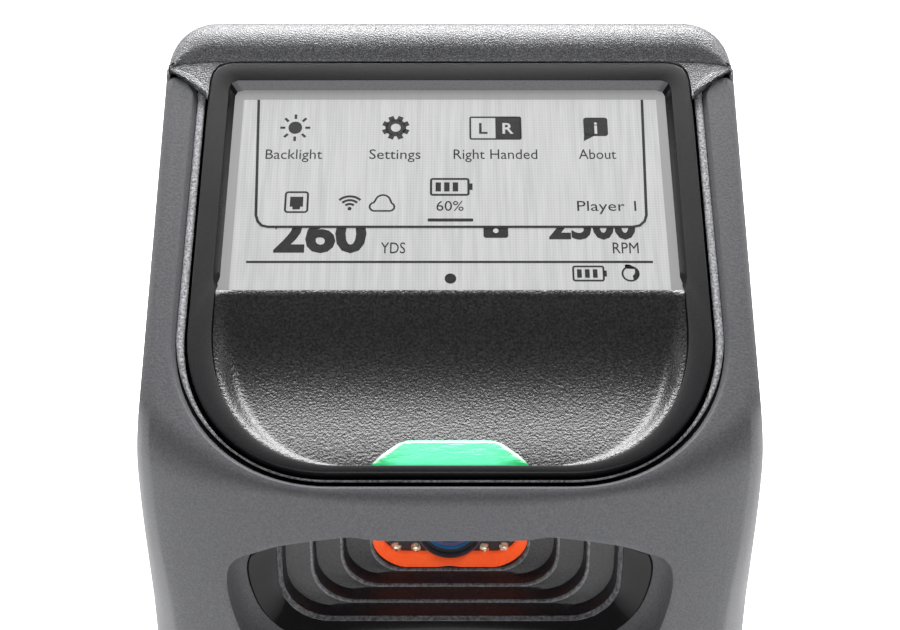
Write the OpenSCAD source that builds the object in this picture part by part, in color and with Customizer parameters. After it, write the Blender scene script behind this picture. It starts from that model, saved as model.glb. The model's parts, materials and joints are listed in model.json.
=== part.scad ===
// Camera-based golf launch monitor: a free-standing tower with a tilted touch screen, a handle
// behind it and two camera windows in front. +Z is up, the front faces -Y, and the origin is
// on the ground under the middle of the screen's lower half.

/* [Body] */
// Overall height from the ground to the top of the crown
body_h = 305; // [302:1:308]
// Half of the body's width at the side walls
half_w = 65.5; // [64:0.5:67]
// Wall thickness of both shells
wall = 3; // [2.5:0.1:3.2]
// Furthest forward point of the front wall, as a distance from the origin
front_reach = 89.5; // [89:0.5:91]
// How far the front wall leans back between its tallest point and the base
front_lean = 13.5; // [11:0.5:14]
// How far the front wall bows back from its middle to its corners
front_bow = 9.5; // [7:0.5:10]

/* [Screen module] */
// Tilt of the screen from the horizontal
screen_tilt = 35.2; // [35:0.1:35.5]
// Visible width of the screen glass
glass_w = 99.6; // [97:0.2:100]
// Visible height of the screen glass
glass_h = 51.3; // [50:0.1:52]
// Half of the screen module's width
module_half = 55.2; // [54.8:0.1:55.4]
// How far the glass lies under the bezel's face
glass_drop = 1.5; // [1:0.1:2]
// Width of the channel round the screen module
channel_w = 2.5; // [2.3:0.1:2.7]
// Depth of the scoop in the fascia below the screen
scoop_depth = 4.5; // [3:0.5:5]

/* [Cameras] */
// Radius of a lens barrel
lens_r = 7.5; // [7.2:0.1:8]
// Height of the upper camera's axis
upper_lens_z = 210.2; // [209.6:0.2:211]
// Height of the two lower cameras' axes
lower_lens_z = 70; // [68:0.5:72]
// Half of the distance between the two lower cameras
lower_lens_x = 21; // [20:0.5:22]
// Radius of an infrared lamp's dome
led_r = 1.3; // [1.1:0.1:1.3]

/* [Handle and rear] */
// Half of the handle's width
handle_half = 19; // [17:0.5:21]
// Rear face of the lower body
rear_y = 76; // [75:0.5:77]
// Radius of the power button
button_r = 7; // [6:0.5:7.5]
// Opening angle of the port door, used to show it open
door_angle = 0; // [0:5:100]

/* [Feet] */
// Height of the rubber feet
foot_h = 4; // [4:0.5:5]
// Radius of the rubber feet
foot_r = 8; // [6:0.5:9]

/* [Hidden] */

eps = 0.05;
grey = [0.42, 0.43, 0.44];
dark = [0.20, 0.20, 0.21];
black = [0.06, 0.06, 0.07];
metal = [0.70, 0.71, 0.73];
board_green = [0.05, 0.32, 0.20];
orange = [0.93, 0.30, 0.12];

// The screen's frame: its lower edge in the middle of the bezel's face
screen_y = -49.8;
screen_z = body_h - 40.8;
module_top = 59.6;
arm_top = 54;
screen_dir = [cos(screen_tilt), sin(screen_tilt)];
screen_out = [-sin(screen_tilt), cos(screen_tilt)];

// The camera windows' depths, measured on Y
upper_face_y = -76;
lower_face_y = -71;
window_half = 45.4;
upper_window = [186, 226];
lower_window = [36, 104];
step_depth = 4;
hood_depth = 3 * step_depth + 1.2;
chassis_y = -30;
chassis_t = 2;
pcb_t = 1.6;
post_x = 53;
post_z = [40, 200];
rear_post_x = 38;
rear_post_z = 232;
back_y = 28;

// The port bay and its door's hinge
bay_x = [-29.6, 26];
bay_z = [26, 74];
bay_floor = 61;
bay_wall = 1.6;
hinge_x = -26.5;
hinge_y = rear_y - 2.4;
pin_r = 1;
knuckle_r = 2.2;
button_z = 89;
button_travel = 1;
base_z = foot_h;
base_t = 2.5;
shelf_z = 10;
battery_y = -16;
strap_t = 1.2;
base_screw_x = 36;
base_screw_y = [-48, 38];

// A point of the screen's plane, as [y, z]
function on_plane(u, n = 0) =
    [screen_y + u * screen_dir[0] + n * screen_out[0],
     screen_z + u * screen_dir[1] + n * screen_out[1]];

// The front wall's place at height z
function front_y(z) =
    -front_reach + front_lean * pow(max(0, (215 - z) / (215 - base_z)), 2);

function arc(c, rx, ry, a0, a1, steps) =
    [for (i = [0:steps]) let (a = a0 + (a1 - a0) * i / steps)
        [c[0] + rx * cos(a), c[1] + ry * sin(a)]];

// The lower right quarter of a superellipse of power n
function squircle(c, rx, ry, n) =
    [for (i = [0:10]) let (a = 90 - 9 * i)
        [c[0] + rx * pow(max(0, cos(a)), 2 / n), c[1] - ry * pow(sin(a), 2 / n)]];

function mirrored(points) =
    concat(points, [for (i = [len(points) - 1:-1:0]) [-points[i][0], points[i][1]]]);

// Extrudes a [y, z] outline along X, centred
module side_prism(w) {
    rotate([90, 0, 90]) translate([0, 0, -w / 2]) linear_extrude(w) children();
}

// Extrudes an [x, z] outline backwards from y
module front_prism(y, depth) {
    translate([0, y + depth, 0]) rotate([90, 0, 0]) linear_extrude(depth) children();
}

// Places children in the screen's frame: X across, Y up the slope, Z out of the screen
module on_screen() {
    translate([0, screen_y, screen_z]) rotate([screen_tilt, 0, 0]) children();
}

module rounded_rect(x0, x1, y0, y1, r, fn = 24) {
    hull() {
        for (x = [x0 + r, x1 - r], y = [y0 + r, y1 - r]) {
            translate([x, y]) circle(r, $fn = fn);
        }
    }
}

module box(x, y, z) {
    translate([x[0], y[0], z[0]]) cube([x[1] - x[0], y[1] - y[0], z[1] - z[0]]);
}

// A cylinder along Y from y0 to y1
module y_rod(r, x, z, y0, y1, fn = 32) {
    translate([x, y1, z]) rotate([90, 0, 0]) cylinder(r = r, h = y1 - y0, $fn = fn);
}

// A pan-head screw along -Y: its head sits behind y, its shank runs forward
module y_screw(x, z, y, shank) {
    y_rod(1.4, x, z, y - shank, y);
    y_rod(2.8, x, z, y, y + 2);
}

// Side view of the whole body without the handle
front_line = [for (i = [0:9]) let (z = base_z + (215 - base_z) * i / 9) [front_y(z), z]];
brow_line = [[-front_reach, 230.5], [-front_reach + 0.8, 234.5], on_plane(-46)];
crown_line = [[-0.4, body_h - 6.1], [0.8, body_h - 3.4], [3.4, body_h - 0.9],
    [7.2, body_h], [12, body_h - 0.8], [20, body_h - 5], [27, body_h - 14], [back_y, body_h - 26]];
foot_line = [[back_y, 112], [45, 110], [66, 108], [rear_y, 98], [rear_y, 14], [rear_y - 4, base_z]];
wrap_top = on_plane(arm_top);
parting_line = [[-2, 285], [3, 255], [8, 215], [12, 175], [15, 135], [19, 95], [27, 50], [38, base_z]];

module body_side() {
    polygon(concat(front_line, brow_line, [on_plane(module_top)], crown_line, foot_line));
}

module wrap_side() {
    polygon(concat([[-120, 0], [-120, 320], [wrap_top[0], 320], wrap_top], parting_line,
        [[38, 0]]));
}

module core_side() {
    polygon(concat([[120, 320], [wrap_top[0] + 0.3, 320], wrap_top + [0.3, -0.2]],
        [for (p = parting_line) p + [0.3, 0]], [[38.3, 0], [120, 0]]));
}

// Plan view: a bowed front, cut corners, straight sides and a rounded rear
front_arc_r = (58 * 58 + front_bow * front_bow) / (2 * front_bow);
front_arc_a = asin(58 / front_arc_r);
module body_plan(rear_corner, rear) {
    right = concat(
        arc([0, front_arc_r - front_reach], front_arc_r, front_arc_r, -90, -90 + front_arc_a, 6),
        [[half_w, -66], [half_w, rear - rear_corner * 1.6]],
        arc([half_w - rear_corner, rear - rear_corner], rear_corner, rear_corner, 20, 90, 4));
    polygon(mirrored(right));
}

// Front view: slightly barrelled sides and rounded crown corners
module body_front() {
    right = [[0, base_z], [half_w - 4, base_z], [half_w - 2, 20], [half_w, 60], [half_w, 205],
        [half_w - 1.5, 246], [half_w - 0.8, 270], [half_w - 0.6, 288], [64, body_h - 11.5],
        [62.8, body_h - 8.5], [60.8, body_h - 5.6], [57.7, body_h - 2.7],
        [53.2, body_h - 0.8], [46, body_h]];
    polygon(mirrored(right));
}

// The body's outline shrunk by the given inset, without the handle
module body_solid(inset) {
    intersection() {
        side_prism(150) offset(delta = -inset) body_side();
        front_prism(-100, 200) offset(delta = -inset) body_front();
        union() {
            linear_extrude(320) offset(delta = -inset) body_plan(16, back_y);
            linear_extrude(112 - inset) offset(delta = -inset) body_plan(20, rear_y);
        }
    }
}

// The screen module's outline, in the screen's frame
module module_outline(grow = 0) {
    right = concat([[0, -42.9 - grow]], squircle([24, -10], module_half - 24.2 + grow, 32.9 + grow, 2.1),
        [[module_half + 0.6 + grow, arm_top], [module_half + 0.6 + grow, module_top + grow]]);
    polygon(mirrored(right));
}

module fascia_outline(grow = 0) {
    right = concat([[0, -41.1 - grow]], squircle([22, -8], 27.9 + grow, 33.1 + grow, 2.2),
        [[49.9 + grow, -0.3]]);
    polygon(mirrored(right));
}

// Outline of a camera window between two heights
module window_outline(low, high, inset) {
    rounded_rect(inset - window_half, window_half - inset, low + inset, high - inset, 11 - inset);
}

handle_outer = [[14, body_h - 12], [24, body_h - 6.5], [45, 290], [66, 281], [80, 268],
    [87.3, 250], [89.53, 225], [87.8, 185], [83.5, 145], [79.5, 118], [rear_y, 96], [rear_y, 80],
    [50, 80], [14, 200]];
hand_gap = [[31, 138], [30.5, 200], [29.5, 256], [38, 265], [48, 262], [58, 256], [64, 245],
    [65.5, 222], [63.5, 185], [59.5, 150], [54, 133], [44, 124], [33, 124]];

// Rounds the corners of an outline
module rounded(r) {
    offset(r = r, $fn = 48) offset(delta = -r) children();
}

module handle_side() {
    difference() {
        rounded(14) polygon(handle_outer);
        rounded(9) polygon(hand_gap);
    }
}

// The strip that the handle's cover fills, on the loop's outer side
module cover_strip() {
    intersection() {
        difference() {
            rounded(14) polygon(handle_outer);
            offset(delta = -wall) rounded(14) polygon(handle_outer);
        }
        polygon([[40, 320], [120, 320], [120, 122], [70, 122], [60, 200]]);
    }
}

module front_shell() {
    color(grey) {
        difference() {
            intersection() {
                difference() {
                    body_solid(0);
                    body_solid(wall);
                    box([-50, 50], [-70, 70], [0, base_z + wall + 3]);
                }
                side_prism(150) wrap_side();
            }
            on_screen() translate([0, 0, -14]) linear_extrude(40) module_outline(channel_w + 0.1);
            on_screen() box([-60, 60], [arm_top, 90], [-14, 20]);
            front_prism(-110, 40) window_outline(upper_window[0], upper_window[1], 0);
            front_prism(-110, 40) window_outline(lower_window[0], lower_window[1], 0);
        }
        for (x = [-post_x, post_x], z = post_z) {
            difference() {
                y_rod(3.6, x, z, -78, chassis_y - 0.1);
                y_rod(1.5, x, z, chassis_y - 14, chassis_y + 1);
            }
        }
    }
}

module rear_shell() {
    color(dark) {
        difference() {
            intersection() {
                body_solid(0);
                side_prism(150) core_side();
            }
            body_solid(wall);
            box([-50, 50], [-70, 70], [0, base_z + wall + 3]);
            on_screen() translate([0, 0, -14]) linear_extrude(40) module_outline(0.3);
            box([bay_x[0] - bay_wall - 0.1, bay_x[1] + bay_wall + 0.1], [rear_y - 8, rear_y + 5],
                [bay_z[0] - bay_wall - 0.1, bay_z[1] + bay_wall + 0.1]);
            y_rod(button_r + 3.1, 0, button_z, rear_y - 12, rear_y + 12);
            for (x = [-rear_post_x, rear_post_x]) {
                y_rod(4.1, x, rear_post_z, back_y - 5, back_y + 5);
            }
        }
        for (x = [-rear_post_x, rear_post_x]) {
            difference() {
                y_rod(5.6, x, rear_post_z, chassis_y + chassis_t + 0.1, back_y - 1.5);
                y_rod(4.1, x, rear_post_z, -18, back_y + 5);
                y_rod(1.7, x, rear_post_z, chassis_y, -17);
            }
        }
    }
}

module handle_frame() {
    color(dark) {
        difference() {
            side_prism(2 * handle_half) handle_side();
            side_prism(2 * (handle_half - wall)) offset(delta = -wall) handle_side();
            side_prism(2 * (handle_half - wall)) cover_strip();
            body_solid(-0.02);
            y_rod(button_r + 3.1, 0, button_z, rear_y - 12, rear_y + 12);
        }
    }
}

module handle_cover() {
    color(dark) side_prism(2 * (handle_half - wall) - 0.3) offset(delta = -0.12) cover_strip();
}

module base_plate() {
    color(dark) {
        difference() {
            translate([0, 0, base_z]) linear_extrude(base_t) {
                difference() {
                    rounded_rect(-49.8, 49.8, -69.8, 69.8, 8);
                    for (x = [-base_screw_x, base_screw_x], y = base_screw_y) {
                        translate([x, y]) circle(1.7, $fn = 32);
                    }
                }
            }
            for (x = [-base_screw_x, base_screw_x], y = base_screw_y) {
                translate([x, y, base_z - 1]) cylinder(r = 3.1, h = 2.2, $fn = 32);
            }
        }
    }
}

module rubber_feet() {
    color(black) {
        for (x = [-40, 40], y = [-60, 57]) {
            translate([x, y, 0]) cylinder(r = foot_r, h = foot_h - 0.02, $fn = 48);
        }
    }
}

// Outline of the screen's window, with its chamfer flared out at the face
module window(grow) {
    translate([-glass_w / 2 - grow, -6 - grow]) square([glass_w + 2 * grow, glass_h + 6 + 2 * grow]);
}

module display_bezel() {
    color(dark) {
        on_screen() {
            difference() {
                translate([0, 0, -7]) linear_extrude(7) module_outline();
                translate([0, 0, -8]) linear_extrude(10) window(0);
                translate([0, 0, -glass_drop]) hull() {
                    linear_extrude(eps) window(0);
                    translate([0, 0, glass_drop]) linear_extrude(eps) window(1.2);
                }
                box([-52.3, 52.3], [-3.2, 55.3], [-8, -glass_drop]);
                translate([0, 0, -8]) linear_extrude(10) fascia_outline(0.12);
            }
        }
    }
}

// Section of the scooped fascia in the screen's frame, as [up the slope, out]
scoop = [for (i = [0:8]) let (t = i / 8)
    [-0.35 - 43.65 * t, -scoop_depth * pow(max(0, sin(180 * pow(t, 0.8))), 1.3)]];

module fascia_panel() {
    color(dark) {
        on_screen() {
            difference() {
                intersection() {
                    translate([0, 0, -9]) linear_extrude(10) fascia_outline();
                    side_prism(110) polygon(concat(scoop, [[-44, -8], [-3.6, -8],
                        [-3.6, 0.2 - glass_drop], [-0.35, 0.2 - glass_drop]]));
                }
                translate([0, 0, -9]) linear_extrude(12) offset(delta = 0.1) lens_outline();
            }
        }
    }
}

module lens_outline() {
    polygon(mirrored([[0, -41.6], [16.2, -41.6], [15.6, -40.5], [13.9, -38.5], [10.5, -35.6],
        [8.4, -34.8], [0, -34.8]]));
}

module status_lens() {
    color([0.35, 0.85, 0.35]) {
        on_screen() {
            intersection() {
                translate([0, 0, -6]) linear_extrude(6) lens_outline();
                translate([0, 0, -8]) linear_extrude(9) fascia_outline(-0.05);
            }
        }
    }
}

module status_board() {
    color(board_green) {
        on_screen() {
            box([-18, 18], [-42, -31], [-10.2, -8.6]);
            for (x = [-8, 0, 8]) {
                box([x - 1.6, x + 1.6], [-39.5, -36.5], [-8.6, -7]);
            }
        }
    }
}

module touch_glass() {
    color(black) on_screen() box([-51.8, 51.8], [-2.9, 54.8], [-glass_drop - 1.1, -glass_drop]);
}

module lcd_panel() {
    color([0.75, 0.76, 0.76]) on_screen() box([-51.6, 51.6], [-2.8, 54.6], [-4, -glass_drop - 1.15]);
}

module backlight_unit() {
    color([0.9, 0.9, 0.88]) on_screen() box([-51.4, 51.4], [-2.7, 54.4], [-6.9, -4.05]);
}

module display_tray() {
    color(metal) {
        on_screen() {
            box([-53.5, 53.5], [-3.1, 57], [-8.2, -7.1]);
            for (x = [-46, 46], u = [6, 48]) {
                translate([x, u, -11.4]) cylinder(r = 2.6, h = 3.25, $fn = 32);
            }
        }
    }
}

module display_board() {
    color(board_green) {
        on_screen() {
            box([-49, 49], [2, 52], [-13.1, -11.5]);
            box([-20, 4], [18, 36], [-15.3, -13.1]);
            box([18, 34], [14, 24], [-16, -13.1]);
        }
    }
}

module display_flex() {
    color([0.75, 0.45, 0.12]) {
        side_prism(20) polygon([[-21, 262.5], [-20.7, 262.5], [-19.2, 226], [-19.5, 226]]);
    }
}

module channel_trim() {
    color(black) {
        on_screen() {
            difference() {
                translate([0, 0, -5]) linear_extrude(4.2) module_outline(channel_w);
                translate([0, 0, -6]) linear_extrude(8) module_outline(0.25);
                box([-70, 70], [arm_top - 1, 90], [-9, 9]);
            }
        }
    }
}

// A glossy tray behind a window: walls back from the front skin to a floor round the hood
module camera_bezel(window, face_y, hood_low, hood_high) {
    difference() {
        intersection() {
            front_prism(-90, 90 + face_y + 1.2) window_outline(window[0], window[1], 0.2);
            side_prism(100) offset(delta = -1.2) body_side();
            linear_extrude(300) offset(delta = -1.2) body_plan(16, back_y);
        }
        front_prism(-110, 109 + face_y) window_outline(window[0], window[1], 2.2);
        front_prism(-100, 60) rounded_rect(-36.2, 36.2, hood_low, hood_high, 10);
    }
}

module upper_camera_bezel() {
    color(black) camera_bezel(upper_window, upper_face_y, 197, 240);
}

module lower_camera_bezel() {
    color(black) camera_bezel(lower_window, lower_face_y, 47, 93);
}

// A stepped funnel: half widths and heights shrink from the face to the lens plate
module stepped_hood(face_y, z0, z1, half, shrink_x, shrink_z) {
    difference() {
        front_prism(face_y, hood_depth) rounded_rect(-half - 3, half + 3, z0 - 3, z1 + 2, 11);
        for (i = [0:3]) {
            front_prism(face_y + i * step_depth - (i == 0 ? 1 : 0), step_depth + 1.2)
                rounded_rect(-half + i * shrink_x, half - i * shrink_x, z0 + i * shrink_z,
                    z1 - i * shrink_z, 10.5 - 1.4 * i);
        }
    }
}

module upper_lens_hood() {
    color(black) stepped_hood(upper_face_y + 1.4, 197.1, 224, 36, 6.2, 1.3);
}

module lower_lens_hood() {
    color(black) stepped_hood(lower_face_y + 1.4, 47.1, 92.9, 36, 1.2, 3.2);
}

// A sloped frame that narrows from the hood to the lens plate
module pod_frame(y, half, z0, z1, r, slope) {
    difference() {
        front_prism(y, 3) rounded_rect(-half, half, z0, z1, r);
        hull() {
            front_prism(y - eps, eps) rounded_rect(-half + 0.6, half - 0.6, z0 + 0.6, z1 - 0.6, r);
            front_prism(y + 3, eps)
                rounded_rect(-half + slope, half - slope, z0 + slope, z1 - slope, r - 1.5);
        }
    }
}

upper_pod_y = upper_face_y + 1.5 + hood_depth;
lower_pod_y = lower_face_y + 1.5 + hood_depth;

module upper_pod_frame() {
    color(orange) {
        difference() {
            pod_frame(upper_pod_y, 19.4, 200, 221.2, 6.4, 3);
            y_rod(lens_r + 0.3, 0, upper_lens_z, -80, -40);
        }
    }
}

module lower_pod_frame() {
    color(orange) pod_frame(lower_pod_y, 34, 55.2, 84.8, 7, 2.6);
}

// One side's lamps round the upper lens; the other side mirrors them
upper_lamps = [for (s = [-1, 1], p = [[7.7, 5.4], [12.1, 5.2], [13.8, 2.5]]) [p[0], s * p[1]]];
lower_lamps = [for (i = [-1, 0, 1], j = [-1, 0, 1]) [i * 5, j * 5.2]];

module lamp_places(upper) {
    if (upper) {
        for (s = [-1, 1], p = upper_lamps) {
            translate([s * p[0], 0, upper_lens_z + p[1]]) children();
        }
    } else {
        for (p = lower_lamps) {
            translate([p[0], 0, lower_lens_z + p[1]]) children();
        }
    }
}

module upper_pod_plate() {
    color(black) {
        difference() {
            front_prism(upper_pod_y + 3.1, 1.6) rounded_rect(-19, 19, 200.8, 220.6, 5);
            y_rod(lens_r + 0.15, 0, upper_lens_z, -80, -40);
            lamp_places(true) y_rod(led_r + 0.1, 0, 0, -80, -40, 16);
        }
    }
}

module lower_pod_plate() {
    color(black) {
        difference() {
            front_prism(lower_pod_y + 3.1, 1.6) rounded_rect(-33, 33, 56, 84, 5);
            for (s = [-1, 1]) {
                y_rod(lens_r + 0.15, s * lower_lens_x, lower_lens_z, -80, -40);
            }
            lamp_places(false) y_rod(led_r + 0.1, 0, 0, -80, -40, 16);
        }
    }
}

// A threaded barrel with a flared mouth; its axis is local Z and it faces +Z
module lens_barrel() {
    rotate_extrude($fn = 64) {
        polygon([[6.2, 0], [lens_r, 0], [lens_r, 20], [lens_r - 0.4, 20.6], [lens_r - 0.6, 20.6],
            [6, 18.4], [6, 14.2], [6.2, 14.2]]);
    }
}

module lens_glass() {
    rotate_extrude($fn = 64) {
        polygon(concat([[0, 14.4], [5.9, 14.4], [5.9, 16.4]],
            [for (i = [1:8]) let (t = i / 8) [5.9 * (1 - t), 16.4 + 2 * sin(90 * t)]]));
    }
}

upper_board_y = -40;
lower_board_y = -36;

module facing_front(x, z, y) {
    translate([x, y, z]) rotate([90, 0, 0]) children();
}

module upper_lens_barrel() {
    color(dark) facing_front(0, upper_lens_z, upper_board_y - 0.1) lens_barrel();
}

module upper_lens_glass() {
    color([0.1, 0.2, 0.6]) facing_front(0, upper_lens_z, upper_board_y - 0.1) lens_glass();
}

module lower_lens_barrels() {
    color(dark) {
        for (s = [-1, 1]) {
            facing_front(s * lower_lens_x, lower_lens_z, lower_board_y - 0.1) lens_barrel();
        }
    }
}

module lower_lens_glasses() {
    color([0.1, 0.2, 0.6]) {
        for (s = [-1, 1]) {
            facing_front(s * lower_lens_x, lower_lens_z, lower_board_y - 0.1) lens_glass();
        }
    }
}

module camera_board(half, z, half_h, y, sensors) {
    difference() {
        box([-half, half], [y, y + pcb_t], [z - half_h, z + half_h]);
        for (x = [-half + 4, half - 4], dz = [-half_h + 4, half_h - 4]) {
            y_rod(1.6, x, z + dz, y - 1, y + 5, 16);
        }
    }
    for (x = sensors) {
        box([x - 4.2, x + 4.2], [y - 1.2, y], [z - 4.2, z + 4.2]);
    }
}

module upper_camera_board() {
    color(board_green) camera_board(28, upper_lens_z, 12, upper_board_y, [0]);
}

module lower_camera_board() {
    color(board_green) camera_board(44, lower_lens_z, 18, lower_board_y, [-lower_lens_x, lower_lens_x]);
}

// A clear domed lamp along -Y whose dome starts at y
module lamp(y) {
    y_rod(led_r, 0, 0, y, y + 4.6, 24);
    translate([0, y, 0]) sphere(led_r, $fn = 24);
}

module upper_ir_lamps() {
    color([0.9, 0.85, 0.7]) lamp_places(true) lamp(upper_pod_y + 2.9);
}

module lower_ir_lamps() {
    color([0.9, 0.85, 0.7]) lamp_places(false) lamp(lower_pod_y + 2.9);
}

module chassis() {
    color(metal) {
        difference() {
            union() {
                box([-58, 58], [chassis_y, chassis_y + chassis_t], [shelf_z, 240]);
                box([-46, 46], [-56, 53], [shelf_z, shelf_z + chassis_t]);
                for (x = [-base_screw_x, base_screw_x], y = base_screw_y) {
                    translate([x, y, base_z + base_t + 0.1]) cylinder(r = 4, h = 4, $fn = 32);
                }
            }
            for (x = [-post_x, post_x], z = post_z) {
                y_rod(1.7, x, z, chassis_y - 5, chassis_y + 5);
            }
            for (x = [-rear_post_x, rear_post_x]) {
                y_rod(1.45, x, rear_post_z, chassis_y - 5, chassis_y + 5);
            }
            for (x = [-base_screw_x, base_screw_x], y = base_screw_y) {
                translate([x, y, 0]) cylinder(r = 1.45, h = 30, $fn = 32);
            }
            box([-22, 22], [chassis_y - 5, chassis_y + 5], [120, 176]);
        }
    }
}

main_board_y = -20;

module board_standoffs() {
    color(metal) {
        for (x = [-46, 46], z = [104, 188]) {
            difference() {
                y_rod(2.6, x, z, chassis_y + chassis_t + 0.05, main_board_y - 0.05, 6);
                y_rod(1.5, x, z, chassis_y, 0);
            }
        }
    }
}

module main_board() {
    color(board_green) {
        difference() {
            box([-50, 50], [main_board_y, main_board_y + pcb_t], [98, 226]);
            for (x = [-46, 46], z = [104, 188]) {
                y_rod(1.6, x, z, main_board_y - 1, main_board_y + 5, 16);
            }
            for (x = [-rear_post_x, rear_post_x]) {
                y_rod(7, x, rear_post_z, main_board_y - 1, main_board_y + 5);
            }
        }
        for (z = [112, 124]) {
            box([20, 42], [main_board_y + pcb_t, main_board_y + pcb_t + 5], [z, z + 8]);
        }
        box([-42, -26], [main_board_y + pcb_t, main_board_y + pcb_t + 1.6], [112, 134]);
    }
}

module processor() {
    color(black) {
        box([-14, 14], [main_board_y + pcb_t + 0.02, main_board_y + pcb_t + 2.2], [146, 174]);
    }
}

module heat_sink() {
    base = main_board_y + pcb_t + 2.25;
    color(metal) {
        box([-22, 22], [base, base + 2.5], [138, 182]);
        for (i = [0:7]) {
            box([-22 + i * 6.1, -20.7 + i * 6.1], [base + 2.5, base + 14], [138, 182]);
        }
    }
}

module battery_pack() {
    color([0.15, 0.3, 0.6]) {
        for (i = [0:3]) {
            translate([-34, battery_y + i * 18.6, shelf_z + chassis_t + 10.4]) rotate([0, 90, 0])
                cylinder(r = 9.2, h = 68, $fn = 40);
        }
        box([-34, 34], [battery_y, battery_y + 3 * 18.6], [shelf_z + chassis_t + 9, shelf_z + chassis_t + 12]);
    }
}

module battery_strap() {
    low = shelf_z + chassis_t + 0.1;
    high = low + 21.4;
    ends = [battery_y - 11.4, battery_y + 3 * 18.6 + 10.2];
    color(metal) {
        for (x = [-20, 20]) {
            box([x - 5, x + 5], [ends[0], ends[1] + strap_t], [high - strap_t, high]);
            for (y = ends) {
                box([x - 5, x + 5], [y, y + strap_t], [low, high]);
            }
        }
    }
}

module motion_sensor_board() {
    color(board_green) {
        box([-40, -16], [-24, -0.5], [78, 79.6]);
        box([-32, -26], [-14, -8], [79.6, 81]);
        box([-40, -16], [-27.95, -24], [76, 79.6]);
    }
}

module wireless_antenna() {
    color([0.85, 0.8, 0.6]) box([-30, 30], [16, 17], [262, 272]);
}

module port_bay() {
    color(black) {
        difference() {
            box([bay_x[0] - bay_wall, bay_x[1] + bay_wall], [bay_floor - bay_wall, rear_y],
                [bay_z[0] - bay_wall, bay_z[1] + bay_wall]);
            box(bay_x, [bay_floor, rear_y + 5], bay_z);
            box([-18.2, -1.8], [40, 70], [35.4, 49.4]);
            box([6.3, 15.7], [40, 70], [35.4, 39.4]);
            translate([hinge_x, hinge_y, bay_z[0] - 3]) cylinder(r = pin_r + 0.05, h = 54, $fn = 32);
        }
    }
}

module port_board() {
    color(board_green) box([-22, 22], [50.5, bay_floor - bay_wall - 0.1], [33.8, 35.4]);
}

module ethernet_socket() {
    color(metal) {
        difference() {
            box([-18, -2], [48, bay_floor + 0.6], [35.5, 49.2]);
            box([-16, -4], [50.5, 70], [37.6, 45]);
            box([-13, -7], [50.5, 70], [44, 47.6]);
        }
    }
}

module usb_c_socket() {
    color(metal) {
        difference() {
            box([6.5, 15.5], [53.5, bay_floor + 0.6], [35.5, 39.2]);
            box([7, 15], [54.5, 70], [36, 38.7]);
        }
        box([7.8, 14.2], [54.5, bay_floor - 0.4], [37, 37.7]);
    }
}

module door_in_place() {
    translate([hinge_x, hinge_y, 0]) rotate([0, 0, door_angle]) translate([-hinge_x, -hinge_y, 0])
        children();
}

module port_door() {
    color(dark) {
        door_in_place() {
            difference() {
                union() {
                    box([hinge_x, bay_x[1] - 0.5], [hinge_y + 0.4, hinge_y + 2.2],
                        [bay_z[0] + 0.5, bay_z[1] - 0.5]);
                    for (z = [bay_z[0] + 1, bay_z[1] - 11]) {
                        translate([hinge_x, hinge_y, z]) cylinder(r = knuckle_r, h = 10, $fn = 32);
                    }
                }
                translate([hinge_x, hinge_y, bay_z[0] - 3])
                    cylinder(r = pin_r + 0.15, h = 54, $fn = 32);
                translate([bay_x[1] - 6, hinge_y + 6.2, 50]) sphere(5.5, $fn = 32);
            }
        }
    }
}

module door_pin() {
    color(metal) {
        translate([hinge_x, hinge_y, bay_z[0] - bay_wall + 0.1])
            cylinder(r = pin_r, h = bay_z[1] - bay_z[0] + 2 * bay_wall - 0.2, $fn = 32);
    }
}

module power_button() {
    color(grey) {
        y_rod(button_r, 0, button_z, rear_y - 3, rear_y + 1.2, 48);
        y_rod(2.5, 0, button_z, rear_y - 5, rear_y - 2.9, 24);
    }
}

module button_ring() {
    color([0.85, 0.9, 0.85]) {
        difference() {
            y_rod(button_r + 3, 0, button_z, rear_y - 7, rear_y + 0.3, 48);
            y_rod(button_r + 0.3, 0, button_z, rear_y - 4.6, rear_y + 2, 48);
            y_rod(3.4, 0, button_z, rear_y - 9, rear_y, 24);
        }
    }
}

module power_switch() {
    y = rear_y - 5 - button_travel - 0.15;
    color(black) {
        y_rod(1.7, 0, button_z, y - 1.3, y, 24);
        box([-3.2, 3.2], [y - 4.5, y - 1.3], [button_z - 3.2, button_z + 3.2]);
    }
}

module button_board() {
    y = rear_y - 5 - button_travel - 0.15 - 4.55;
    color(board_green) box([-12, 12], [y - pcb_t, y], [button_z - 8, button_z + 8]);
}

module button_bracket() {
    y = rear_y - 5 - button_travel - 0.15 - 4.6 - pcb_t;
    color(metal) {
        box([-20, 20], [y - 1.5, y - 0.05], [button_z - 7, button_z + 7]);
        for (x = [-20, 18.5]) {
            box([x, x + 1.5], [y - 0.1, rear_y - wall - 0.1], [button_z - 7, button_z + 7]);
        }
    }
}

module chassis_screws() {
    color(metal) {
        for (x = [-post_x, post_x], z = post_z) {
            y_screw(x, z, chassis_y + chassis_t + 0.02, 12);
        }
    }
}

module rear_screws() {
    color(metal) {
        for (x = [-rear_post_x, rear_post_x]) {
            y_rod(1.4, x, rear_post_z, -31, -17.9);
            y_rod(2.8, x, rear_post_z, -17.95, -15);
        }
    }
}

module screw_caps() {
    color(black) {
        for (x = [-rear_post_x, rear_post_x]) {
            y_rod(4, x, rear_post_z, back_y - 4, back_y - 0.4);
        }
    }
}

module base_screws() {
    color(metal) {
        for (x = [-base_screw_x, base_screw_x], y = base_screw_y) {
            translate([x, y, base_z + 0.2]) cylinder(r = 2.8, h = 0.95, $fn = 32);
            translate([x, y, base_z + 0.2]) cylinder(r = 1.4, h = 8, $fn = 32);
        }
    }
}

module board_screws() {
    color(metal) {
        for (x = [-46, 46], z = [104, 188]) {
            y_screw(x, z, main_board_y + pcb_t + 0.02, 7);
        }
    }
}

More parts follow.
